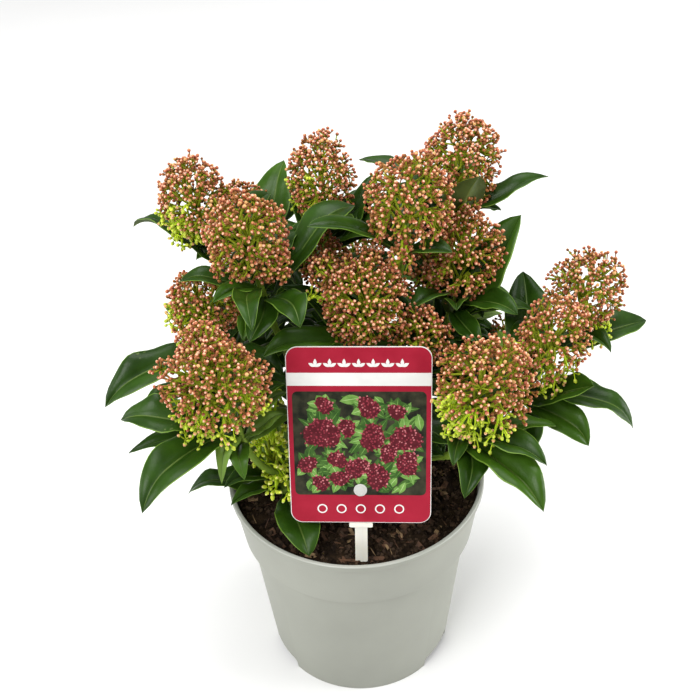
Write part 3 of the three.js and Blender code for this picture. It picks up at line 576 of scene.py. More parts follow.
def tested_rows(leaf):
    """Left edge, midrib and right edge of the leaf at a few places, to see what it would touch."""
    rib = rib_of(leaf)[TESTED]
    share = TESTED / LEAF_STEPS
    across, normal = blade_frame(leaf, share)
    half = (leaf["width"] * 0.5 * np.sin(np.pi * share ** 1.12).clip(0) ** 0.8)[:, None]
    fold = math.radians(LEAF_FOLD)
    left = rib + across * half * math.cos(fold) + normal * half * math.sin(fold)
    right = rib - across * half * math.cos(fold) + normal * half * math.sin(fold)
    return np.stack([left, rib, right], axis=1)


def over_label(x, z):
    wide = np.where(z < -PAST_CARD, STRIP_WIDTH / 2 + BESIDE_STRIP, CARD_WIDTH / 2 + BESIDE_CARD)
    return (np.abs(x) < wide) & (z > -STRIP_BELOW) & (z < CARD_HEIGHT + PAST_CARD)


def clear_of_label(rows):
    """Whether the leaf stays behind the label and doesn't pass through it."""
    a = rows @ card_undone[:3, :3].T + card_undone[:3, 3]
    if np.any((a[..., 1] < BEHIND_CARD) & over_label(a[..., 0], a[..., 2])):
        return False
    before, after = a[:-1], a[1:]
    crossed = before[..., 1] * after[..., 1] < 0
    t = before[..., 1] / np.where(crossed, before[..., 1] - after[..., 1], 1.0)
    x = between(before[..., 0], after[..., 0], t)
    z = between(before[..., 2], after[..., 2], t)
    return not np.any(crossed & over_label(x, z))


def in_head(points, shoot, margin):
    d = points - shoot["head"]
    wide, tall = shoot["half"] + margin, shoot["tall"] + margin
    return np.any((d @ shoot["sideways"] / wide) ** 2 + (d @ shoot["forward"] / wide) ** 2
                  + (d @ shoot["axis"] / tall) ** 2 < 1)


def path_distance(points, path):
    a, run = path[:-1], np.diff(path, axis=0)
    t = np.einsum("psk,sk->ps", points[:, None] - a, run) / np.sum(run * run, axis=1)
    near = a + run * np.clip(t, 0, 1)[..., None]
    return np.min(np.linalg.norm(points[:, None] - near, axis=2))


def fits(leaf):
    """Whether the leaf is clear of pot, soil, heads, limbs, label and the leaves already there."""
    rows = tested_rows(leaf)
    points = rows.reshape(-1, 3)
    leaf["tested"] = points
    out, height = np.hypot(points[:, 0], points[:, 1]), points[:, 2]
    floor = np.where(out > RIM_INNER, POT_HEIGHT + OVER_RIM, SOIL_TOP + OVER_SOIL)
    if np.any((out < RIM_RADIUS + BESIDE_RIM) & (height < floor)) or np.any(height < LOWEST_LEAF):
        return False
    for shoot in shoots:
        if in_head(points, shoot, OWN_HEAD if shoot["mass"] == leaf["mass"] else OTHER_HEAD):
            return False
    for mass, path in limbs:
        if mass != leaf["mass"] and path_distance(points, path) < leaf["clear"]:
            return False
    if not clear_of_label(rows):
        return False
    for other in leaves:
        a, b, room = points, other["tested"], OTHER_LEAF
        if other["mass"] == leaf["mass"]:
            a, b, room = a[3:], b[3:], OWN_LEAF
        if np.min(np.linalg.norm(a[:, None] - b[None], axis=2)) < room:
            return False
    return True


def try_leaf(shoot, **wanted):
    """Add a leaf to a shoot, turned and shortened step by step until it fits, or left out."""
    for k in range(LEAF_TRIES):
        swing = (1 if k % 2 else -1) * math.ceil(k / 2)
        leaf = dict(wanted, mass=shoot["mass"])
        leaf["azimuth"] += wanted["search"] * swing
        leaf["rise"] += 2 * swing if wanted["search"] == SET_SEARCH else 0
        leaf["chord"] *= 1 - SHORTENED * k
        bare = wanted.get("bare")
        if bare and (leaf["azimuth"] - bare[0]) % 360 < bare[1] - bare[0]:
            continue
        if fits(leaf):
            leaves.append(leaf)
            shoot["count"] += 1
            return


for shoot in shoots:
    for azimuth, rise, chord, arch_over, drop in shoot["set"]:
        width = chord * between(*SET_WIDTH, chance())
        try_leaf(shoot, base=shoot["node"] - shoot["axis"] * min(drop, shoot["neck"]), azimuth=azimuth,
                 asked=azimuth, rise=rise, chord=chord, arch=arch_over, width=width,
                 roll=between(*SET_ROLL, chance()), search=SET_SEARCH, clear=SET_TO_LIMB)
for shoot in shoots:
    start = 360 * chance()
    for i in range(LEAVES_A_SHOOT + SPARE_LEAVES):
        share = i / (LEAVES_A_SHOOT + SPARE_LEAVES - 1)
        chord = between(*SEEDED_CHORD, chance())
        rise = between(*SEEDED_RISE, share) + between(*RISE_SWING, chance())
        arch_over = between(*SEEDED_ARCH, chance())
        width = chord * between(*SEEDED_WIDTH, chance())
        roll = between(*SEEDED_ROLL, chance())
        if shoot["count"] < LEAVES_A_SHOOT:
            try_leaf(shoot, base=shoot["node"] - shoot["axis"] * between(2, shoot["neck"], share),
                     azimuth=start + GOLDEN_TURN * i, rise=rise, chord=chord, arch=arch_over, width=width,
                     roll=roll, search=SEEDED_SEARCH, clear=SEEDED_TO_LIMB, bare=shoot["bare"])

# More leaves by the same rule: head's place along X, azimuth, rise, chord, arch, drop.
for place, azimuth, rise, chord, arch_over, drop in (
        (-86.5, 40, 14, 43, 15, 7), (-86.5, 30, 30, 37, 15, 17), (79.4, -90, 46, 54, 15, 12),
        (79.4, -10, 22, 40, 15, 7), (-98, 20, 38, 57, 15, 12), (133, 120, 54, 47, 15, 12),
        (-86.5, -80, 22, 44, 40, 22), (-86.5, -100, 14, 37, 30, 17), (-59.3, -140, 46, 62, 25, 2),
        (79.4, -130, 30, 57, 40, 2), (79.4, -140, 54, 50, 40, 12)):
    shoot = next(s for s in shoots if s["head"][0] == place)
    try_leaf(shoot, base=shoot["node"] - shoot["axis"] * drop, azimuth=azimuth, asked=azimuth, rise=rise,
             chord=chord, arch=arch_over, width=chord * EXTRA_WIDTH, roll=0.0, search=SET_SEARCH,
             clear=SET_TO_LIMB)

# Smaller ones lower down on the shoots.
lower_deal = np.random.default_rng(23)
for shoot in shoots:
    start = lower_deal.uniform(0, 360)
    curve = shoot["curve"][1:16]
    for i in range(LOWER_LEAVES):
        at = between(*LOWER_PLACES, (i + 0.5) / LOWER_LEAVES) * (len(curve) - 1)
        base = curve[int(at)] * (1 - at % 1) + curve[min(int(at) + 1, len(curve) - 1)] * (at % 1)
        chord = lower_deal.uniform(*LOWER_CHORD)
        try_leaf(shoot, base=base, azimuth=start + GOLDEN_TURN * i, rise=lower_deal.uniform(*LOWER_RISE),
                 chord=chord, arch=lower_deal.uniform(*LOWER_ARCH),
                 width=chord * lower_deal.uniform(*LOWER_WIDTH), roll=lower_deal.uniform(*SEEDED_ROLL),
                 search=SEEDED_SEARCH, clear=SEEDED_TO_LIMB, bare=shoot["bare"])

BLADE_STATIONS = 20
BLADE_ACROSS = np.array((-1.0, -0.955, -0.74, -0.45, -0.18, -0.04, 0.04, 0.18, 0.45, 0.74, 0.955, 1.0))
BLADE_THICK, MIDRIB_DEEP, KEEL_DEEP = 0.55, 0.35, 0.9
STALK_HALF, STALK_FLARE, TIP_HALF = 1.5, 0.6, 0.05
NARROW_FROM, NARROW_LONG = 0.015, 0.16
DROOP_FROM, DROOP_DEEP = 0.72, 3.0
TURNED_BY, TWIST_FROM = 0.35, 0.2
RIPPLE, RIPPLE_PACE = 0.6, 1.7
MIDRIB, EDGE, UNDER, KEEL = 3, 4, 5, 6
SHADE_SHARES = (0.62, 0.34, 0.04)


def blade(leaf, shade, style):
    """A leaf's closed mesh: folded blade with a sunken midrib, wavy edge, light margin and keel below."""
    share = np.linspace(0, 1, BLADE_STATIONS + 1) ** 0.92
    rib = rib_of(leaf)
    at = share * LEAF_STEPS
    path = np.stack([np.interp(at, np.arange(LEAF_STEPS + 1), rib[:, k]) for k in range(3)], axis=1)
    across, normal = blade_frame(leaf, share)
    path = path[0] + (path - path[0]) * style["long"]
    path += across[0] * (style["sickle"] * leaf["chord"] * 4 * share * (1 - share))[:, None]
    beyond = np.clip(share - DROOP_FROM, 0, 1)
    path += normal * (style["droop"] * leaf["chord"] * beyond ** 2 * -DROOP_DEEP)[:, None]
    twist = style["turn"] * np.clip(share / TURNED_BY, 0, 1) + style["twist"] * (share - TWIST_FROM)
    twist = twist[:, None]
    across, normal = (across * np.cos(twist) + normal * np.sin(twist),
                      normal * np.cos(twist) - across * np.sin(twist))
    half = leaf["width"] * 0.5 * np.sin(np.pi * share ** style["late"]).clip(0) ** 0.7 * style["slim"]
    stalk = (STALK_HALF + STALK_FLARE * (1 - share)) * (1 - share)
    narrowed = np.maximum(half * np.clip((share - NARROW_FROM) / NARROW_LONG, 0, 1) ** 0.8, stalk)
    half = np.where(share < 0.5, narrowed, half)[:, None]
    half[-1] = TIP_HALF
    s = BLADE_ACROSS[None, :]
    share = share[:, None]
    in_middle = np.abs(s) < 0.1
    fold = math.radians(LEAF_FOLD + style["fold"])
    dip = 1.15 * math.sin(fold) * np.sin(0.68 * np.pi * np.abs(s))
    wave = style["wave"] * np.sin(2 * np.pi * (style["waves"] * share + style["phase"])) * s ** 2 * np.sign(s)
    wave = wave + RIPPLE * style["wave"] * np.sin(2 * np.pi * (RIPPLE_PACE * style["waves"] * share)) * s ** 2
    lift = half * (dip + wave) - MIDRIB_DEEP * in_middle
    wide = half * s * math.cos(fold)
    top = path[:, None] + across[:, None] * wide[..., None] + normal[:, None] * lift[..., None]
    thick = BLADE_THICK * (1 - 0.6 * s ** 4) * (1 - 0.5 * share) + KEEL_DEEP * in_middle * (1.1 - share)
    under = top - normal[:, None] * thick[..., None]
    rows, cols = BLADE_STATIONS + 1, len(BLADE_ACROSS)
    points = np.concatenate([top.reshape(-1, 3), under.reshape(-1, 3)])
    i, j = np.meshgrid(np.arange(rows - 1), np.arange(cols - 1), indexing="ij")
    a, j = (i * cols + j).ravel(), j.ravel()
    n = rows * cols
    upper = np.stack([a, a + cols, a + cols + 1, a + 1], axis=1)
    kind = np.where((j == 0) | (j == cols - 2), EDGE, np.where(j == cols // 2 - 1, MIDRIB, shade))
    under_kind = np.where(j == cols // 2 - 1, KEEL, UNDER)
    k = np.arange(rows - 1) * cols
    left = np.stack([k, k + n, k + n + cols, k + cols], axis=1)
    k = k + cols - 1
    right = np.stack([k, k + cols, k + n + cols, k + n], axis=1)
    c = np.arange(cols - 1)
    base = np.stack([c, c + 1, n + c + 1, n + c], axis=1)
    c = c + n - cols
    tip = np.stack([c + 1, c, n + c, n + c + 1], axis=1)
    fours = np.concatenate([upper, upper[:, ::-1] + n, left, right, base, tip])
    finish = np.concatenate([kind, under_kind, np.full(2 * (rows - 1), EDGE), np.full(2 * (cols - 1), UNDER)])
    return points, [np.zeros((0, 3)), fours], (0, finish)


leaf_finishes = [
    surface("leaf_deep", (0.012, 0.037, 0.002), (0.027, 0.073, 0.005), scale=45.0, rough=0.34, relief=0.3,
            relief_scale=420.0, gloss=0.19, step=0.0005),
    surface("leaf_mid", (0.024, 0.067, 0.003), (0.046, 0.111, 0.008), scale=45.0, rough=0.34, relief=0.3,
            relief_scale=420.0, gloss=0.19, step=0.0005),
    surface("leaf_fresh", (0.105, 0.190, 0.018), (0.170, 0.285, 0.042), scale=45.0, rough=0.42, relief=0.3,
            relief_scale=420.0, gloss=0.27, step=0.0005),
    surface("leaf_midrib", (0.055, 0.100, 0.015), (0.094, 0.150, 0.026), scale=120.0, rough=0.45, relief=0.2,
            gloss=0.27),
    surface("leaf_edge", (0.095, 0.185, 0.016), (0.155, 0.265, 0.034), scale=120.0, rough=0.45, relief=0.1,
            gloss=0.27),
    surface("leaf_under", (0.058, 0.095, 0.020), (0.100, 0.145, 0.036), scale=60.0, rough=0.55, relief=0.3,
            relief_scale=600.0, gloss=0.25, step=0.0004),
    surface("leaf_keel", (0.105, 0.150, 0.030), (0.155, 0.200, 0.052), scale=120.0, rough=0.5, relief=0.1,
            gloss=0.25),
]
# Leaves with looks of their own, by mass and azimuth: shade (deep, mid or fresh) and what differs in shape.
OWN_LOOKS = {
    "front_left": {
        -178: dict(slim=1.1), -167: dict(slim=0.62), -140: dict(shade=0),
        -104: dict(shade=2, slim=0.82, droop=1.8, long=0.74), -80: dict(shade=1, droop=1.2),
        -78: dict(shade=0, slim=1.15), 30: dict(shade=2), 38: dict(shade=1), 40: dict(shade=2),
        45: dict(shade=2), 83: dict(shade=2), 100: dict(shade=2), 105: dict(shade=2), 118: dict(shade=2)},
    "left_top": {
        -96: dict(shade=0), -91: dict(shade=0, fold=-4.0, slim=0.72), -64: dict(shade=0, fold=-6.0),
        34: dict(shade=0, slim=0.95, late=2.1)},
    "left_back": {66: dict(shade=1, slim=1.3)},
    "top": {-156: dict(shade=0, slim=0.6)},
    "right_back": {-70: dict(slim=1.1), 33: dict(shade=1, slim=1.35, sickle=-0.10, twist=0.0)},
    "right_front": {-59: dict(slim=1.08), 34: dict(shade=1)},
    "right": {-42: dict(slim=1.1, turn=0.5), 12: dict(slim=1.15)},
}
style_deal = np.random.default_rng(5)
blades = {}
for leaf in leaves:
    style = dict(sickle=style_deal.normal(0, 0.045), droop=style_deal.uniform(0.0, 0.8),
                 twist=style_deal.normal(0, 0.16), fold=style_deal.uniform(-4, 12),
                 wave=style_deal.uniform(0.05, 0.15), waves=style_deal.uniform(1.6, 2.8),
                 phase=style_deal.random(), slim=style_deal.uniform(0.86, 1.04),
                 late=1.16, turn=0.0, long=1.0, shade=style_deal.choice(len(SHADE_SHARES), p=SHADE_SHARES))
    azimuth = leaf.get("asked", round((leaf["azimuth"] + 180) % 360 - 180))
    style.update(OWN_LOOKS.get(leaf["mass"], {}).get(azimuth, {}))
    blades.setdefault(leaf["mass"], []).append(blade(leaf, style["shade"], style))
for name, parts in blades.items():
    points, faces, kinds = joined(parts)
    foliage = piece("leaves_" + name, points, faces, leaf_finishes, kinds, sharp=50)
    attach(foliage, "root")
    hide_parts("mass_" + name)

# ---- Twigs
# Shoots that grow on from the bough tips, olive at the foot and green above, with a low swelling
# where each leaf stalk sits. They run up into the flower heads as their main stalk.
TWIG_ROOT, TWIG_TIP = 2.7, 2.1
TWIG_SIDES, TWIG_STEPS, OLIVE_STEPS = 10, 45, 9
TWIG_SMOOTHING = 3
LEAF_SWELLING, SWELLING_REACH = 0.9, 2.6
twig_green = surface("twig_green", (0.125, 0.205, 0.016), (0.200, 0.300, 0.034), scale=90.0, rough=0.55,
                     relief=0.35, relief_scale=420.0, stretch=(1, 1, 0.5), gloss=0.22, step=0.0004)
twig_olive = surface("twig_olive", (0.085, 0.110, 0.018), (0.140, 0.175, 0.034), scale=110.0, rough=0.65,
                     relief=0.4, relief_scale=420.0, stretch=(1, 1, 0.5), gloss=0.2, step=0.0005)
for name, _, _, _ in MASSES:
    parts = []
    for shoot in (s for s in shoots if s["mass"] == name):
        curve = shoot["curve"]
        length = np.concatenate([[0], np.cumsum(np.linalg.norm(np.diff(curve, axis=0), axis=1))])
        fine = np.linspace(0, length[-1], TWIG_STEPS + 1)
        path = np.stack([np.interp(fine, length, curve[:, k]) for k in range(3)], axis=1)
        for _ in range(TWIG_SMOOTHING):
            path[1:-1] = (path[:-2] + 2 * path[1:-1] + path[2:]) / 4
        radii = np.interp(fine, (0, length[-1]), (TWIG_ROOT, TWIG_TIP))
        for leaf in leaves:
            if leaf["mass"] == name:
                near = np.linalg.norm(path - leaf["base"], axis=1)
                swelling = (TWIG_TIP + LEAF_SWELLING) * np.exp(-(near / SWELLING_REACH) ** 2)
                radii = np.maximum(radii, swelling)
        olive = np.repeat(np.arange(TWIG_STEPS) < OLIVE_STEPS, TWIG_SIDES).astype(int)
        parts.append((*limb(path, radii, TWIG_SIDES, ridges=0.12, waist=4.0), (0, olive)))
    points, faces, kinds = joined(parts)
    twigs = piece("twigs_" + name, points, faces, [twig_green, twig_olive], kinds)
    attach(twigs, "root")
    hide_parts("mass_" + name)

# ---- Flower heads
# Each shoot ends in an egg-shaped head of hundreds of round unopened buds, salmon pink, on thin
# branched stalks that are yellow-green inside and bronze near the buds. Young parts are still green.
BUD_RADIUS, BUD_STRETCH = (1.05, 1.42), (0.95, 1.12)
BUD_SIDES = 6
BUD_SPACE, FORK_SPACE = 24.0, 135.0
OPEN_BUDS, OPEN_INNER, OPEN_FORKS = 0.7, 0.6, 0.3
THIN_GREEN, THIN_UNRIPE = 1.35, 1.6
INNER_BUDS, TURNING_BUDS, MISSING_GREEN = 0.45, 0.38, 0.3
SWELL, FINE_SWELL = 0.25, 0.16
CLUMP, OUTWARD, GREEN_EDGE = 0.22, 0.6, 0.2
BRANCH_REACH, FORK_REACH = (0.42, 0.54), (0.73, 0.86)
INNER_REACH, OUTER_REACH, STRAY_REACH = (0.66, 0.85), (0.88, 0.99), (1.0, 1.05)
STRAYS, OPEN_STRAYS = 0.04, 0.05
BRANCH_SHAKE, FORK_SHAKE, OUTER_SHAKE, INNER_SHAKE = 0.7, 0.8, 0.75, 0.9
LOWEST_BRANCH, LOWEST_FORK, LOWEST_BUD = -0.8, -0.86, -0.94
FORK_BEND, FORK_SAG = 0.9, 0.8
ELBOW_AT, ELBOW_SAG, ELBOW_BEND = 0.55, 0.8, 0.45
BRANCH_RADII, FORK_RADII, STALK_RADII = (1.05, 0.9), (0.95, 0.85, 0.75), (0.56, 0.46, 0.56)
BRONZE, BRONZE_ABOVE, BRONZE_OPEN = 0.40, 0.45, 0.6
EGG_POWER = 1.6
# Kinds of bud: salmon, rose, brown, peach, green, unripe and turning. Of each, its size beside a ripe
# one, its stretch where it isn't a ripe one's, and the finishes of its foot, sides and tip. On most kinds
# the tip's lighter finish is a painted highlight; on the ripe ones the foot's darker finish is painted shade.
GREEN, UNRIPE, TURNING = 4, 5, 6
KIND_SIZE = np.array((1, 1, 1, 1, 1.06, 1.14, 1))
KIND_STRETCH = np.array((0, 0, 0, 0, 1.2, 1.5, 1.2))
KIND_FINISH = np.array([(1, 0, 6), (2, 1, 6), (2, 2, 0), (0, 3, 3), (4, 4, 5), (5, 5, 7), (4, 3, 6)])
# Buds deep inside a head are dealt brown more often. Brown buds are real, but the larger brown share inside
# is painted shade.
SHADED_INNER_KINDS, OUTER_KINDS = (0.15, 0.2, 0.6, 0.05), (0.40, 0.26, 0.24, 0.10)
STALK_GREEN, STALK_BRONZE, STALK_YOUNG = 0, 1, 2
# Small clusters beside a head, by the head's place: offset from its centre, radius, still green or not.
SIDE_CLUSTERS = {
    (8.7, 0, 325.5): [((-25, 10, 17), 12, False), ((-31, 2, 3), 6, True)],
    (40.2, 26, 383): [((-6, -22, -30), 10, False)],
    (79.4, 40, 330): [((-20, 3, 4), 13, False), ((0, 12, 26), 13, False), ((-28, -8, -14), 11, False)],
    (164.8, 32, 305.6): [((6, -20, -26), 10, True)],
    (133, -16, 297): [((-3, -18, -24), 9, True), ((-24, -4, -4), 8, True)],
    (-86.5, -60, 307): [((-14, -17, -24), 10, True), ((26, -4, -12), 9, True), ((-4, 8, 26), 15, False)],
    (82, -57, 293): [((-22, -7, -10), 9, True), ((-19, -9, -27), 8, True)],
    (-103.2, 60, 369): [((-9, -10, -20), 10, True)],
    (-64.3, 5, 372.5): [((17, -10, -16), 12, False)],
    (-17.4, 80, 371.5): [((-17, -7, -14), 6, True)],
    (-59.3, -30, 221): [((3, 8, 18), 11, True), ((6, -14, -20), 11, True), ((5, 4, 44), 8, True)],
    (-98, 12, 316.5): [((-20, 2, -6), 8, True)],
}


def unit_rows(v):
    return v / np.maximum(np.linalg.norm(v, axis=1), 1e-9)[:, None]


def bud_shape():
    """A bud's unit shape along Z: three rings of six and a blunt tip, closed below, in three zones."""
    points = []
    for z, r, shift in ((-0.68, 0.66, 0.0), (-0.02, 1.0, 0.5), (0.70, 0.66, 0.0)):
        for k in range(BUD_SIDES):
            a = 2 * math.pi * (k + shift) / BUD_SIDES
            points.append((r * math.cos(a), r * math.sin(a), z))
    points.append((0.0, 0.0, 1.06))
    threes = [(0, k + 1, k) for k in range(1, BUD_SIDES - 1)]
    for k in range(BUD_SIDES):
        n = (k + 1) % BUD_SIDES
        low, low_next, mid, mid_next = k, n, BUD_SIDES + k, BUD_SIDES + n
        high, high_next = 2 * BUD_SIDES + k, 2 * BUD_SIDES + n
        threes += [(low, low_next, mid), (low_next, mid_next, mid), (mid, high_next, high),
                   (mid, mid_next, high_next), (high, high_next, 3 * BUD_SIDES)]
    zones = [0] * (BUD_SIDES - 2) + [0, 0, 1, 1, 2] * BUD_SIDES
    return np.array(points), np.array(threes), np.array(zones)


def frames_along(directions):
    """For each direction, two directions square to it."""
    helper = np.where(np.abs(directions[:, 2:3]) < 0.9, [[0.0, 0, 1]], [[1.0, 0, 0]])
    u = np.cross(helper, directions)
    u /= np.linalg.norm(u, axis=1)[:, None]
    return u, np.cross(directions, u)


def stalks(points_along, radii, sides=3):
    """Thin closed stalks through rows of points, given one array a level, with a radius at each level."""
    paths = np.stack(points_along, axis=1)
    count, steps = paths.shape[:2]
    run = paths[:, -1] - paths[:, 0]
    run /= np.maximum(np.linalg.norm(run, axis=1), 1e-6)[:, None]
    u, v = frames_along(run)
    turns = 2 * np.pi * np.arange(sides) / sides
    ring = u[:, None] * np.cos(turns)[None, :, None] + v[:, None] * np.sin(turns)[None, :, None]
    points = paths[:, :, None] + ring[:, None] * np.asarray(radii)[None, :, None, None]
    top = (steps - 1) * sides
    threes = np.array([(0, k + 1, k) for k in range(1, sides - 1)]
                      + [(top, top + k, top + k + 1) for k in range(1, sides - 1)])
    each = (np.arange(count) * steps * sides)[:, None, None]
    return points.reshape(-1, 3), [(threes + each).reshape(-1, 3), (band(steps, sides) + each).reshape(-1, 4)]


def spread_over_ball(count, rng, jitter):
    """Directions spread evenly over a ball, each shaken a little."""
    i = np.arange(count) + 0.5
    z = 1 - 2 * i / count
    a = i * math.pi * (3 - math.sqrt(5)) + rng.uniform(0, 6.28)
    r = np.sqrt(1 - z * z)
    d = np.stack([r * np.cos(a), r * np.sin(a), z], axis=1)
    d += rng.normal(0, jitter / math.sqrt(count), d.shape)
    return d / np.linalg.norm(d, axis=1)[:, None]


def head_point(head, way, reach):
    """Points of a head at shares of its reach in given directions. Its outline swells and dips a little."""
    swell = [1 + SWELL * noise.noise(Vector(w) * 1.4 + head["shake"])
             + FINE_SWELL * noise.noise(Vector(w) * 3.6 + head["shake"]) for w in way]
    swell = np.array(swell)[:, None] * reach
    wide = head["half"] * 0.96 * (1 - 0.1 * way[:, 2:3]) * swell
    return (head["centre"] + head["sideways"] * wide * way[:, 0:1] + head["forward"] * wide * way[:, 1:2]
            + head["axis"] * (head["tall"] * swell) * way[:, 2:3])


def forks(head, count, rng):
    """Branches from a head's root to the forks near its outside: forks, which are green, and parts."""
    branch_way = spread_over_ball(max(4, count // 4), rng, BRANCH_SHAKE)
    branch_way = branch_way[branch_way[:, 2] > LOWEST_BRANCH]
    branches = head_point(head, branch_way, rng.uniform(*BRANCH_REACH, (len(branch_way), 1)))
    if head["root"] is None:
        roots = head["centre"] + head["axis"] * head["tall"] * (0.5 * branch_way[:, 2:3] - 0.42)
        kind = STALK_GREEN
    else:
        roots = np.repeat(head["root"][None], len(branches), axis=0)
        kind = STALK_YOUNG
    parts = [(*stalks([roots, branches], BRANCH_RADII, 4), kind)]
    way = spread_over_ball(count, rng, FORK_SHAKE)
    way = way[way[:, 2] > LOWEST_FORK]
    places = head_point(head, way, rng.uniform(*FORK_REACH, (len(way), 1)))
    below = branches[np.argmax(way @ branch_way.T, axis=1)]
    bent = (below + places) / 2 + rng.normal(0, FORK_BEND, places.shape) - head["axis"] * FORK_SAG
    green = np.zeros(len(places), dtype=bool)
    if head["green"]:
        towards, spread = head["green"]
        green = way @ unit(towards) > 1 - spread + rng.normal(0, GREEN_EDGE, len(places))
    for kind, pick in ((STALK_GREEN, ~green), (STALK_YOUNG, green)):
        if pick.any():
            parts.append((*stalks([below[pick], bent[pick], places[pick]], FORK_RADII), kind))
    return way, places, green, parts


def bud_ways(head, outer, inner, rng):
    """Directions of a head's buds, how far out each sits, and which are the inner ones."""
    way = spread_over_ball(outer, rng, OUTER_SHAKE)
    reach = rng.uniform(*OUTER_REACH, outer)
    stray = rng.random(outer) < STRAYS + OPEN_STRAYS * head["open"]
    reach[stray] = rng.uniform(*STRAY_REACH, int(stray.sum()))
    way = np.concatenate([way, spread_over_ball(inner, rng, INNER_SHAKE)])
    reach = np.concatenate([reach, rng.uniform(*INNER_REACH, inner)])
    deep = np.arange(len(way)) >= outer
    kept = way[:, 2] > LOWEST_BUD
    return way[kept], reach[kept], deep[kept]


def bloom(head, rng):
    """The buds and the stalks of one head or side cluster, as parts to join."""
    half, tall, openness = head["half"], head["tall"], head["open"]
    all_green = head["green"] == ALL_GREEN
    thin = 1 if not all_green else THIN_UNRIPE if head["unripe"] else THIN_GREEN
    spans = ((half * half) ** EGG_POWER + 2 * (half * tall) ** EGG_POWER) / 3
    area = 4 * math.pi * spans ** (1 / EGG_POWER)
    outer = int(area / (BUD_SPACE * (1 + OPEN_BUDS * openness) * thin))
    inner = max(int(outer * INNER_BUDS * (1 - OPEN_INNER * openness)), 1)
    fork_count = max(4, int(area / (FORK_SPACE * (1 + OPEN_FORKS * openness))))
    fork_way, fork_places, green_fork, made = forks(head, fork_count, rng)
    way, reach, deep = bud_ways(head, outer, inner, rng)
    ends = head_point(head, way, reach[:, None])
    fork_of = np.argmin(np.linalg.norm(ends[:, None] - fork_places[None], axis=2), axis=1)
    kept = ~green_fork[fork_of] | (rng.random(len(way)) > (0.0 if all_green else MISSING_GREEN))
    way, reach, deep, fork_of = way[kept], reach[kept], deep[kept], fork_of[kept]
    way = unit_rows(way + CLUMP * fork_way[fork_of])
    ends = head_point(head, way, reach[:, None])
    fork, green = fork_places[fork_of], green_fork[fork_of]
    # Inner buds get the browner deal: painted shade inside the head.
    shaded_inner_kinds = rng.choice(4, size=len(way), p=SHADED_INNER_KINDS)
    kinds = np.where(deep, shaded_inner_kinds, rng.choice(4, size=len(way), p=OUTER_KINDS))
    kinds[green] = UNRIPE if head["unripe"] else GREEN
    kinds[(kinds == GREEN) & (rng.random(len(way)) < TURNING_BUDS)] = TURNING
    above = np.clip(way[:, 2] + 0.1, 0, 1)
    bronze = rng.random(len(way)) < BRONZE + BRONZE_ABOVE * above + BRONZE_OPEN * openness
    stalk_kinds = np.where(bronze, STALK_BRONZE, STALK_GREEN)
    stalk_kinds[green] = STALK_YOUNG
    stalk_kinds[kinds == TURNING] = STALK_GREEN
    out = ends - fork
    out = unit_rows(out + OUTWARD * unit_rows(ends - head["centre"]) * np.linalg.norm(out, axis=1)[:, None])
    size = rng.uniform(*BUD_RADIUS, len(ends)) * KIND_SIZE[kinds]
    stretch = np.where(kinds >= GREEN, KIND_STRETCH[kinds], rng.uniform(*BUD_STRETCH, len(ends)))
    elbow = fork + (ends - fork) * ELBOW_AT - out * ELBOW_SAG + rng.normal(0, ELBOW_BEND, ends.shape)
    feet = ends - out * (size / 2)[:, None]
    for kind in (STALK_GREEN, STALK_BRONZE, STALK_YOUNG):
        pick = stalk_kinds == kind
        if pick.any():
            low_kind = STALK_GREEN if kind == STALK_BRONZE else kind
            along = np.tile(np.repeat([low_kind, kind], 3), pick.sum())
            made.append((*stalks([fork[pick], elbow[pick], feet[pick]], STALK_RADII), (kind, along)))
    u, v = frames_along(out)
    shape = (u[:, None] * bud_points[None, :, 0:1] + v[:, None] * bud_points[None, :, 1:2]
             + out[:, None] * bud_points[None, :, 2:3] * stretch[:, None, None])
    points = ends[:, None] + shape * size[:, None, None]
    threes = bud_threes[None] + (np.arange(len(ends)) * len(bud_points))[:, None, None]
    finish = KIND_FINISH[kinds][:, bud_zones].ravel()
    return (points.reshape(-1, 3), [threes.reshape(-1, 3), np.zeros((0, 4))], (finish, 0)), made


def bud_skin(name, low, high, rough=0.32, relief=0.15, gloss=0.14, through=0.1):
    return surface(name, low, high, scale=480.0, rough=rough, relief=relief, relief_scale=1500.0, gloss=gloss,
                   step=0.0002, through=through)


def stalk_skin(name, low, high, through=0.0):
    return surface(name, low, high, scale=200.0, rough=0.5, relief=0.15, gloss=0.06, through=through)


bud_points, bud_threes, bud_zones = bud_shape()
bud_finishes = [
    bud_skin("bud_salmon", (0.39, 0.122, 0.054), (0.61, 0.235, 0.112)),
    bud_skin("bud_rose", (0.33, 0.080, 0.048), (0.51, 0.155, 0.090)),
    bud_skin("bud_brown", (0.20, 0.076, 0.020), (0.33, 0.138, 0.038), through=0.08),
    bud_skin("bud_peach", (0.58, 0.31, 0.110), (0.80, 0.48, 0.210)),
    bud_skin("bud_green", (0.34, 0.44, 0.030), (0.60, 0.69, 0.095), rough=0.45, relief=0.12, gloss=0.2,
             through=0.25),
    bud_skin("bud_young", (0.56, 0.68, 0.032), (0.82, 0.90, 0.120), rough=0.45, relief=0.12, gloss=0.2,
             through=0.35),
    # The two tip finishes are painted highlights; the cream one is also the young buds' own pale tip.
    bud_skin("bud_tip_painted_highlight", (0.74, 0.38, 0.230), (0.92, 0.57, 0.380), rough=0.3, relief=0.1, gloss=0.3),
    bud_skin("bud_tip_cream_and_painted_highlight", (0.86, 0.82, 0.200), (0.97, 0.93, 0.360), rough=0.35, relief=0.1, gloss=0.25),
]
stalk_finishes = [
    stalk_skin("stalk_green", (0.190, 0.240, 0.010), (0.350, 0.410, 0.026)),
    stalk_skin("stalk_bronze", (0.230, 0.100, 0.024), (0.380, 0.180, 0.052)),
    stalk_skin("stalk_young", (0.420, 0.610, 0.018), (0.620, 0.800, 0.048), through=0.25),
]
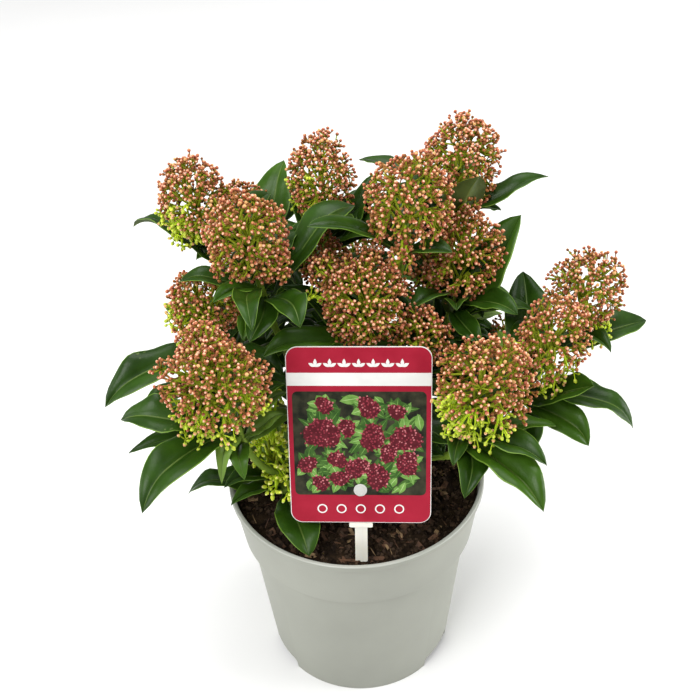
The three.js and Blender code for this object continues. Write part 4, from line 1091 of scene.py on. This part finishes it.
for name, _, _, _ in MASSES:
    buds, stalk_parts = [], []
    for shoot in (s for s in shoots if s["mass"] == name):
        centre, green = shoot["head"], shoot["green"]
        rng = np.random.default_rng(int(abs(centre[0]) * 10 + centre[2] * 7) + 3)
        whole = dict(shoot, centre=centre, shake=Vector(rng.uniform(-50, 50, 3)), root=None,
                     unripe=green == ALL_GREEN)
        clusters = [whole]
        for offset, radius, young in SIDE_CLUSTERS.get(tuple(centre), []):
            clusters.append(dict(whole, centre=centre + offset, half=radius, tall=radius * 1.1,
                                 open=0.8 if young else 0.1, green=ALL_GREEN if young else None,
                                 root=centre + np.array(offset) * 0.35 - shoot["axis"] * 4))
        for one in clusters:
            bud_part, stalk_part = bloom(one, rng)
            buds.append(bud_part)
            stalk_parts += stalk_part
    for prefix, parts, finishes in (("buds_", buds, bud_finishes), ("stalks_", stalk_parts, stalk_finishes)):
        points, faces, kinds = joined(parts)
        blossom = piece(prefix + name, points, faces, finishes, kinds)
        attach(blossom, "root")
        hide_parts("mass_" + name)

# ---- Label card
# A sales card of white plastic sheet with rounded corners, pinned to its holder by a button. It is
# printed crimson, with a row of sprigs, a white band, a picture of round blooms over leaves, and rings.
CARD_THICK, CARD_CORNER = 0.8, 8.0
PRINT_EDGE, PRINT_THICK = 0.5, 0.10
BAND_Z, BAND_HEIGHT = 100.0, 9.0
PANEL_LOW, PANEL_HIGH, PANEL_WIDE, PANEL_CORNER = 21.0, 96.0, 88.0, 3.5
BLOOM_TRIES, BLOOM_RADIUS = 260, (6.0, 13.0)
BACK_LEAVES, LEAVES_A_BLOOM = 90, 9
DOT_TURN, DOT_RADIUS = 2.39996, (0.45, 0.82)
SPRIGS, SPRIG_Z, SPRIG_STEP = 7, 113.2, 9.4
RINGS, RING_Z, RING_STEP = 5, 10.6, 13.0


def rounded_box_outline(left, low, right, high, corner, steps=8):
    out = []
    for cx, cz, first in ((right - corner, low + corner, -90), (right - corner, high - corner, 0),
                          (left + corner, high - corner, 90), (left + corner, low + corner, 180)):
        for i in range(steps + 1):
            a = math.radians(first + 90 * i / steps)
            out.append((cx + corner * math.cos(a), cz + corner * math.sin(a)))
    return out


def disc_outline(x, z, radius, sides):
    turns = [2 * math.pi * k / sides for k in range(sides)]
    return [(x + radius * math.cos(a), z + radius * math.sin(a)) for a in turns]


def leaf_outline(x, z, angle, long, wide, steps=6):
    out = []
    ahead, aside = math.cos(angle), math.sin(angle)
    for i in range(2 * steps):
        t = i / steps if i <= steps else 2 - i / steps
        side = 1 if i <= steps else -1
        u, v = long * t, side * wide * 0.5 * math.sin(math.pi * t)
        out.append((x + u * ahead - v * aside, z + u * aside + v * ahead))
    return out


def sheet(outline, front, back, chamfer=0.0):
    """A closed flat slab on the card's own axes: outline in (x, z), front face at y = front."""
    flat = np.array(outline)
    centre = flat.mean(axis=0)
    rows = [(flat, front), (flat, back)]
    if chamfer:
        near = centre + (flat - centre) * (1 - chamfer / np.abs(flat - centre).max())
        rows = [(near, front), (flat, front + chamfer), (flat, back - chamfer), (near, back)]
    n = len(flat)
    points = [np.stack([f[:, 0], np.full(n, y), f[:, 1]], axis=1) for f, y in rows]
    points = np.concatenate([*points, [(centre[0], front, centre[1]), (centre[0], back, centre[1])]])
    k = np.arange(n)
    end = (len(rows) - 1) * n
    threes = np.concatenate([np.stack([np.full(n, end + n), k, (k + 1) % n], axis=1),
                             np.stack([np.full(n, end + n + 1), end + (k + 1) % n, end + k], axis=1)])
    return points, [threes, band(len(rows), n)[:, (0, 3, 2, 1)]]


def on_card(points):
    return points @ card_place[:3, :3].T + card_place[:3, 3]


card_white = surface("card_white", (0.74, 0.74, 0.71), (0.80, 0.80, 0.78), scale=40.0, rough=0.4, relief=0.05,
                     gloss=0.2)
face = -CARD_THICK / 2
card_outline = rounded_box_outline(-CARD_WIDTH / 2, 0, CARD_WIDTH / 2, CARD_HEIGHT, CARD_CORNER)
card_points, card_faces = sheet(card_outline, face, CARD_THICK / 2, 0.12)
card = piece("label_card_sheet", on_card(card_points), card_faces, [card_white], sharp=30)
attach(card, "root")
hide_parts("label_card")

CRIMSON, WHITE, PANEL, LEAF_LIGHT, LEAF_DEEP, BLOOM_DARK, BLOOM_MID, BLOOM_LIGHT, LEAF_RIB = range(9)
print_finishes = [
    surface(name, low, high, scale=scale, rough=0.40, relief=0.06, gloss=0.15)
    for name, low, high, scale in (
        ("print_crimson", (0.312, 0.008, 0.026), (0.376, 0.013, 0.036), 60.0),
        ("print_white", (0.72, 0.72, 0.70), (0.80, 0.80, 0.78), 60.0),
        ("print_panel", (0.008, 0.010, 0.005), (0.046, 0.044, 0.024), 130.0),
        ("print_leaf_light", (0.100, 0.230, 0.040), (0.200, 0.370, 0.085), 220.0),
        ("print_leaf_deep", (0.026, 0.078, 0.012), (0.062, 0.140, 0.026), 220.0),
        ("print_bloom", (0.070, 0.005, 0.010), (0.120, 0.012, 0.020), 300.0),
        ("print_bloom_mid", (0.22, 0.022, 0.038), (0.32, 0.045, 0.065), 300.0),
        ("print_bloom_light", (0.46, 0.120, 0.140), (0.60, 0.210, 0.220), 300.0),
        ("print_leaf_rib", (0.300, 0.480, 0.160), (0.380, 0.560, 0.220), 220.0),
    )
]
prints = []
picture = np.random.default_rng(31)


def layer(outline, kind, height):
    """One printed shape, as many print thicknesses proud of the card as its height says."""
    points, faces = sheet(outline, face - PRINT_THICK * height, face - PRINT_THICK * (height - 1) + 0.02)
    prints.append((on_card(points), faces, kind))


def print_leaf(x, z, angle, long, wide, kind, height):
    """A printed leaf with its midrib, left out where its tip would pass the panel's edge."""
    tip_x, tip_z = x + long * math.cos(angle), z + long * math.sin(angle)
    if abs(tip_x) < PANEL_WIDE / 2 - 1 and PANEL_LOW + 1 < tip_z < PANEL_HIGH - 1:
        layer(leaf_outline(x, z, angle, long, wide), kind, height)
        rib_kind = LEAF_RIB if kind == LEAF_LIGHT else LEAF_LIGHT
        layer(leaf_outline(x, z, angle, long * 0.93, 0.55), rib_kind, height + 0.005)


def bloom_edge(radius, lobes, a):
    """A printed bloom's reach at an angle; its outline has a few uneven lobes."""
    return radius * (1 + 0.12 * math.sin(2 * a + lobes[0]) + 0.07 * math.sin(3 * a + lobes[1])
                     + 0.05 * math.sin(7 * a + lobes[2]))


half_card = CARD_WIDTH / 2 - PRINT_EDGE
layer(rounded_box_outline(-half_card, PRINT_EDGE, half_card, CARD_HEIGHT - PRINT_EDGE,
                          CARD_CORNER - PRINT_EDGE), CRIMSON, 1)
layer(rounded_box_outline(-half_card, BAND_Z, half_card, BAND_Z + BAND_HEIGHT, 0.2, 1), WHITE, 1.5)
layer(rounded_box_outline(-PANEL_WIDE / 2, PANEL_LOW, PANEL_WIDE / 2, PANEL_HIGH, PANEL_CORNER), PANEL, 1.5)
blooms = []
for _ in range(BLOOM_TRIES):
    radius = picture.uniform(*BLOOM_RADIUS)
    margin = 1.16 * radius + 1
    x = picture.uniform(-1, 1) * (PANEL_WIDE / 2 - margin)
    z = picture.uniform(PANEL_LOW + margin, PANEL_HIGH - margin)
    if all(math.hypot(x - a, z - b) > 0.84 * (radius + c) for a, b, c in blooms):
        blooms.append((x, z, radius))
blooms.sort(key=lambda one: -one[1])
for k in range(BACK_LEAVES):
    x = picture.uniform(-1, 1) * (PANEL_WIDE / 2 - 3)
    z = picture.uniform(PANEL_LOW + 3, PANEL_HIGH - 3)
    print_leaf(x, z, picture.uniform(0, 2 * math.pi), picture.uniform(9, 17), picture.uniform(4, 7),
               LEAF_DEEP if picture.random() < 0.75 else LEAF_LIGHT, 1.7 + 0.008 * (k % 30))
for at, (x, z, radius) in enumerate(blooms):
    for k in range(LEAVES_A_BLOOM):
        a = 2 * math.pi * (k + picture.uniform(-0.4, 0.4)) / LEAVES_A_BLOOM
        kind = LEAF_LIGHT if picture.random() < 0.35 else LEAF_DEEP
        print_leaf(x, z, a, radius * picture.uniform(1.25, 1.9), picture.uniform(4.5, 7.5), kind,
                   2 + 0.02 * at + 0.01 * (kind == LEAF_LIGHT))
for at, (x, z, radius) in enumerate(blooms):
    height = 2.5 + 0.06 * at
    lobes = picture.uniform(0, 2 * math.pi, 3)
    rim = [(a, 0.9 * bloom_edge(radius, lobes, a)) for a in (2 * math.pi * k / 36 for k in range(36))]
    layer([(x + r * math.cos(a), z + r * math.sin(a)) for a, r in rim], BLOOM_DARK, height)
    dots = int(0.85 * radius * radius)
    for k in range(dots):
        a = DOT_TURN * k + at + picture.uniform(-0.2, 0.2)
        r = bloom_edge(radius, lobes, a) * math.sqrt((k + 0.5) / dots)
        lit = 0.5 + 0.5 * r / radius * math.sin(a + 0.5)
        tone = picture.random()
        kind = BLOOM_LIGHT if tone < 0.42 * lit else BLOOM_DARK if tone > 0.62 + 0.34 * lit else BLOOM_MID
        layer(disc_outline(x + r * math.cos(a), z + r * math.sin(a), picture.uniform(*DOT_RADIUS), 6),
              kind, height + 0.02 + 0.01 * (k % 3))
for k in range(SPRIGS):
    for angle, long in ((30, 5.0), (90, 5.6), (150, 5.0)):
        layer(leaf_outline((k - 3) * SPRIG_STEP, SPRIG_Z, math.radians(angle), long, 2.3), WHITE, 2)
for k in range(RINGS):
    layer(disc_outline((k - 2) * RING_STEP, RING_Z, 3.4, 24), WHITE, 2)
    layer(disc_outline((k - 2) * RING_STEP, RING_Z, 2.5, 24), CRIMSON, 2.4)
points, faces, kinds = joined(prints)
card_print = piece("label_print", points, faces, print_finishes, kinds, sharp=30)
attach(card_print, "root")
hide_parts("label_card")

# ---- Label holder
# A moulded strip of milky plastic pushed into the soil behind the card. A ledge carries the card's
# lower edge, and a round button through the card's hole locks it.
STRIP_THICK, STRIP_ABOVE = 1.2, 40.0
LEDGE_WIDTH, LEDGE_DEEP, LEDGE_HIGH = 16.0, 3.2, 3.0
BUTTON_Z, BUTTON_RADIUS, PIN_RADIUS = 25.0, 4.5, 2.4
holder_plastic = surface("holder_plastic", (0.72, 0.70, 0.62), (0.82, 0.80, 0.72), scale=30.0, rough=0.35,
                         relief=0.08, gloss=0.5, through=0.2)
button_plastic = surface("button_plastic", (0.50, 0.50, 0.47), (0.56, 0.56, 0.53), scale=30.0, rough=0.4,
                         relief=0.05, gloss=0.3)
behind = CARD_THICK / 2 + GAP
strip_outline = rounded_box_outline(-STRIP_WIDTH / 2, -STRIP_BELOW, STRIP_WIDTH / 2, STRIP_ABOVE, 1.2, 4)
ledge_outline = rounded_box_outline(-LEDGE_WIDTH / 2, -LEDGE_HIGH - GAP, LEDGE_WIDTH / 2, -GAP, 0.7, 4)
rib_outline = rounded_box_outline(-0.7, -STRIP_BELOW, 0.7, -LEDGE_HIGH - GAP, 0.4, 3)
holder_parts = [(on_card(points), faces, kind) for (points, faces), kind in (
    (sheet(strip_outline, behind, behind + STRIP_THICK, 0.25), 0),
    (sheet(ledge_outline, behind + STRIP_THICK - LEDGE_DEEP, behind + STRIP_THICK, 0.35), 0),
    (sheet(rib_outline, behind - 0.35, behind + 0.2, 0.1), 0),
    (sheet(disc_outline(0, BUTTON_Z, PIN_RADIUS, 24), -behind - 0.6, behind + 0.4), 0),
    (sheet(disc_outline(0, BUTTON_Z, BUTTON_RADIUS, 40), -behind - 1.0, -behind - 0.02, 0.3), 1),
    (sheet(disc_outline(0, BUTTON_Z, BUTTON_RADIUS * 0.62, 32), -behind - 1.25, -behind - 0.9, 0.15), 1),
)]
points, faces, kinds = joined(holder_parts)
holder = piece("holder", points, faces, [holder_plastic, button_plastic], kinds, sharp=30)
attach(holder, "root")
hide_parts("label_holder")

# ---- Floor and light
# A sheet of plain pale paper lies under the pot and runs on well past it. The light is soft and plain,
# from four large panels, the strongest of them at the left front, and a little from all round.
FLOOR_HALF = 6.0
floor_mesh = bpy.data.meshes.new("floor")
floor_corners = [(x * FLOOR_HALF, y * FLOOR_HALF, 0) for x, y in ((-1, -1), (1, -1), (1, 1), (-1, 1))]
floor_mesh.from_pydata(floor_corners, [], [(0, 1, 2, 3)])
floor_paper = surface("floor_paper", (0.86, 0.86, 0.855), (0.88, 0.88, 0.875), scale=3.0, rough=0.9,
                      relief=0.02, gloss=0.1)
floor_mesh.materials.append(floor_paper)
floor = bpy.data.objects.new("floor", floor_mesh)
bpy.context.scene.collection.objects.link(floor)


def panel(name, place, aim, size, power):
    lamp = bpy.data.lights.new(name, "AREA")
    lamp.shape, lamp.size, lamp.energy = "SQUARE", size, power
    made = bpy.data.objects.new(name, lamp)
    made.location = place
    made.rotation_mode = "QUATERNION"
    made.rotation_quaternion = (Vector(aim) - Vector(place)).to_track_quat("-Z", "Y")
    bpy.context.scene.collection.objects.link(made)


panel("panel_key", (-0.9, -1.3, 2.1), (0, 0, 0.25), 1.2, 41)
panel("panel_left", (-2.0, -0.2, 0.8), (0, 0, 0.2), 1.2, 17)
panel("panel_right", (2.0, -0.1, 0.9), (0, 0, 0.2), 1.2, 34)
panel("panel_top", (0.1, 0.5, 2.2), (0, 0, 0.2), 1.4, 29)
world = bpy.data.worlds.new("studio")
world.use_nodes = True
world.node_tree.nodes["Background"].inputs["Color"].default_value = (1, 1, 1, 1)
world.node_tree.nodes["Background"].inputs["Strength"].default_value = 0.46
bpy.context.scene.world = world
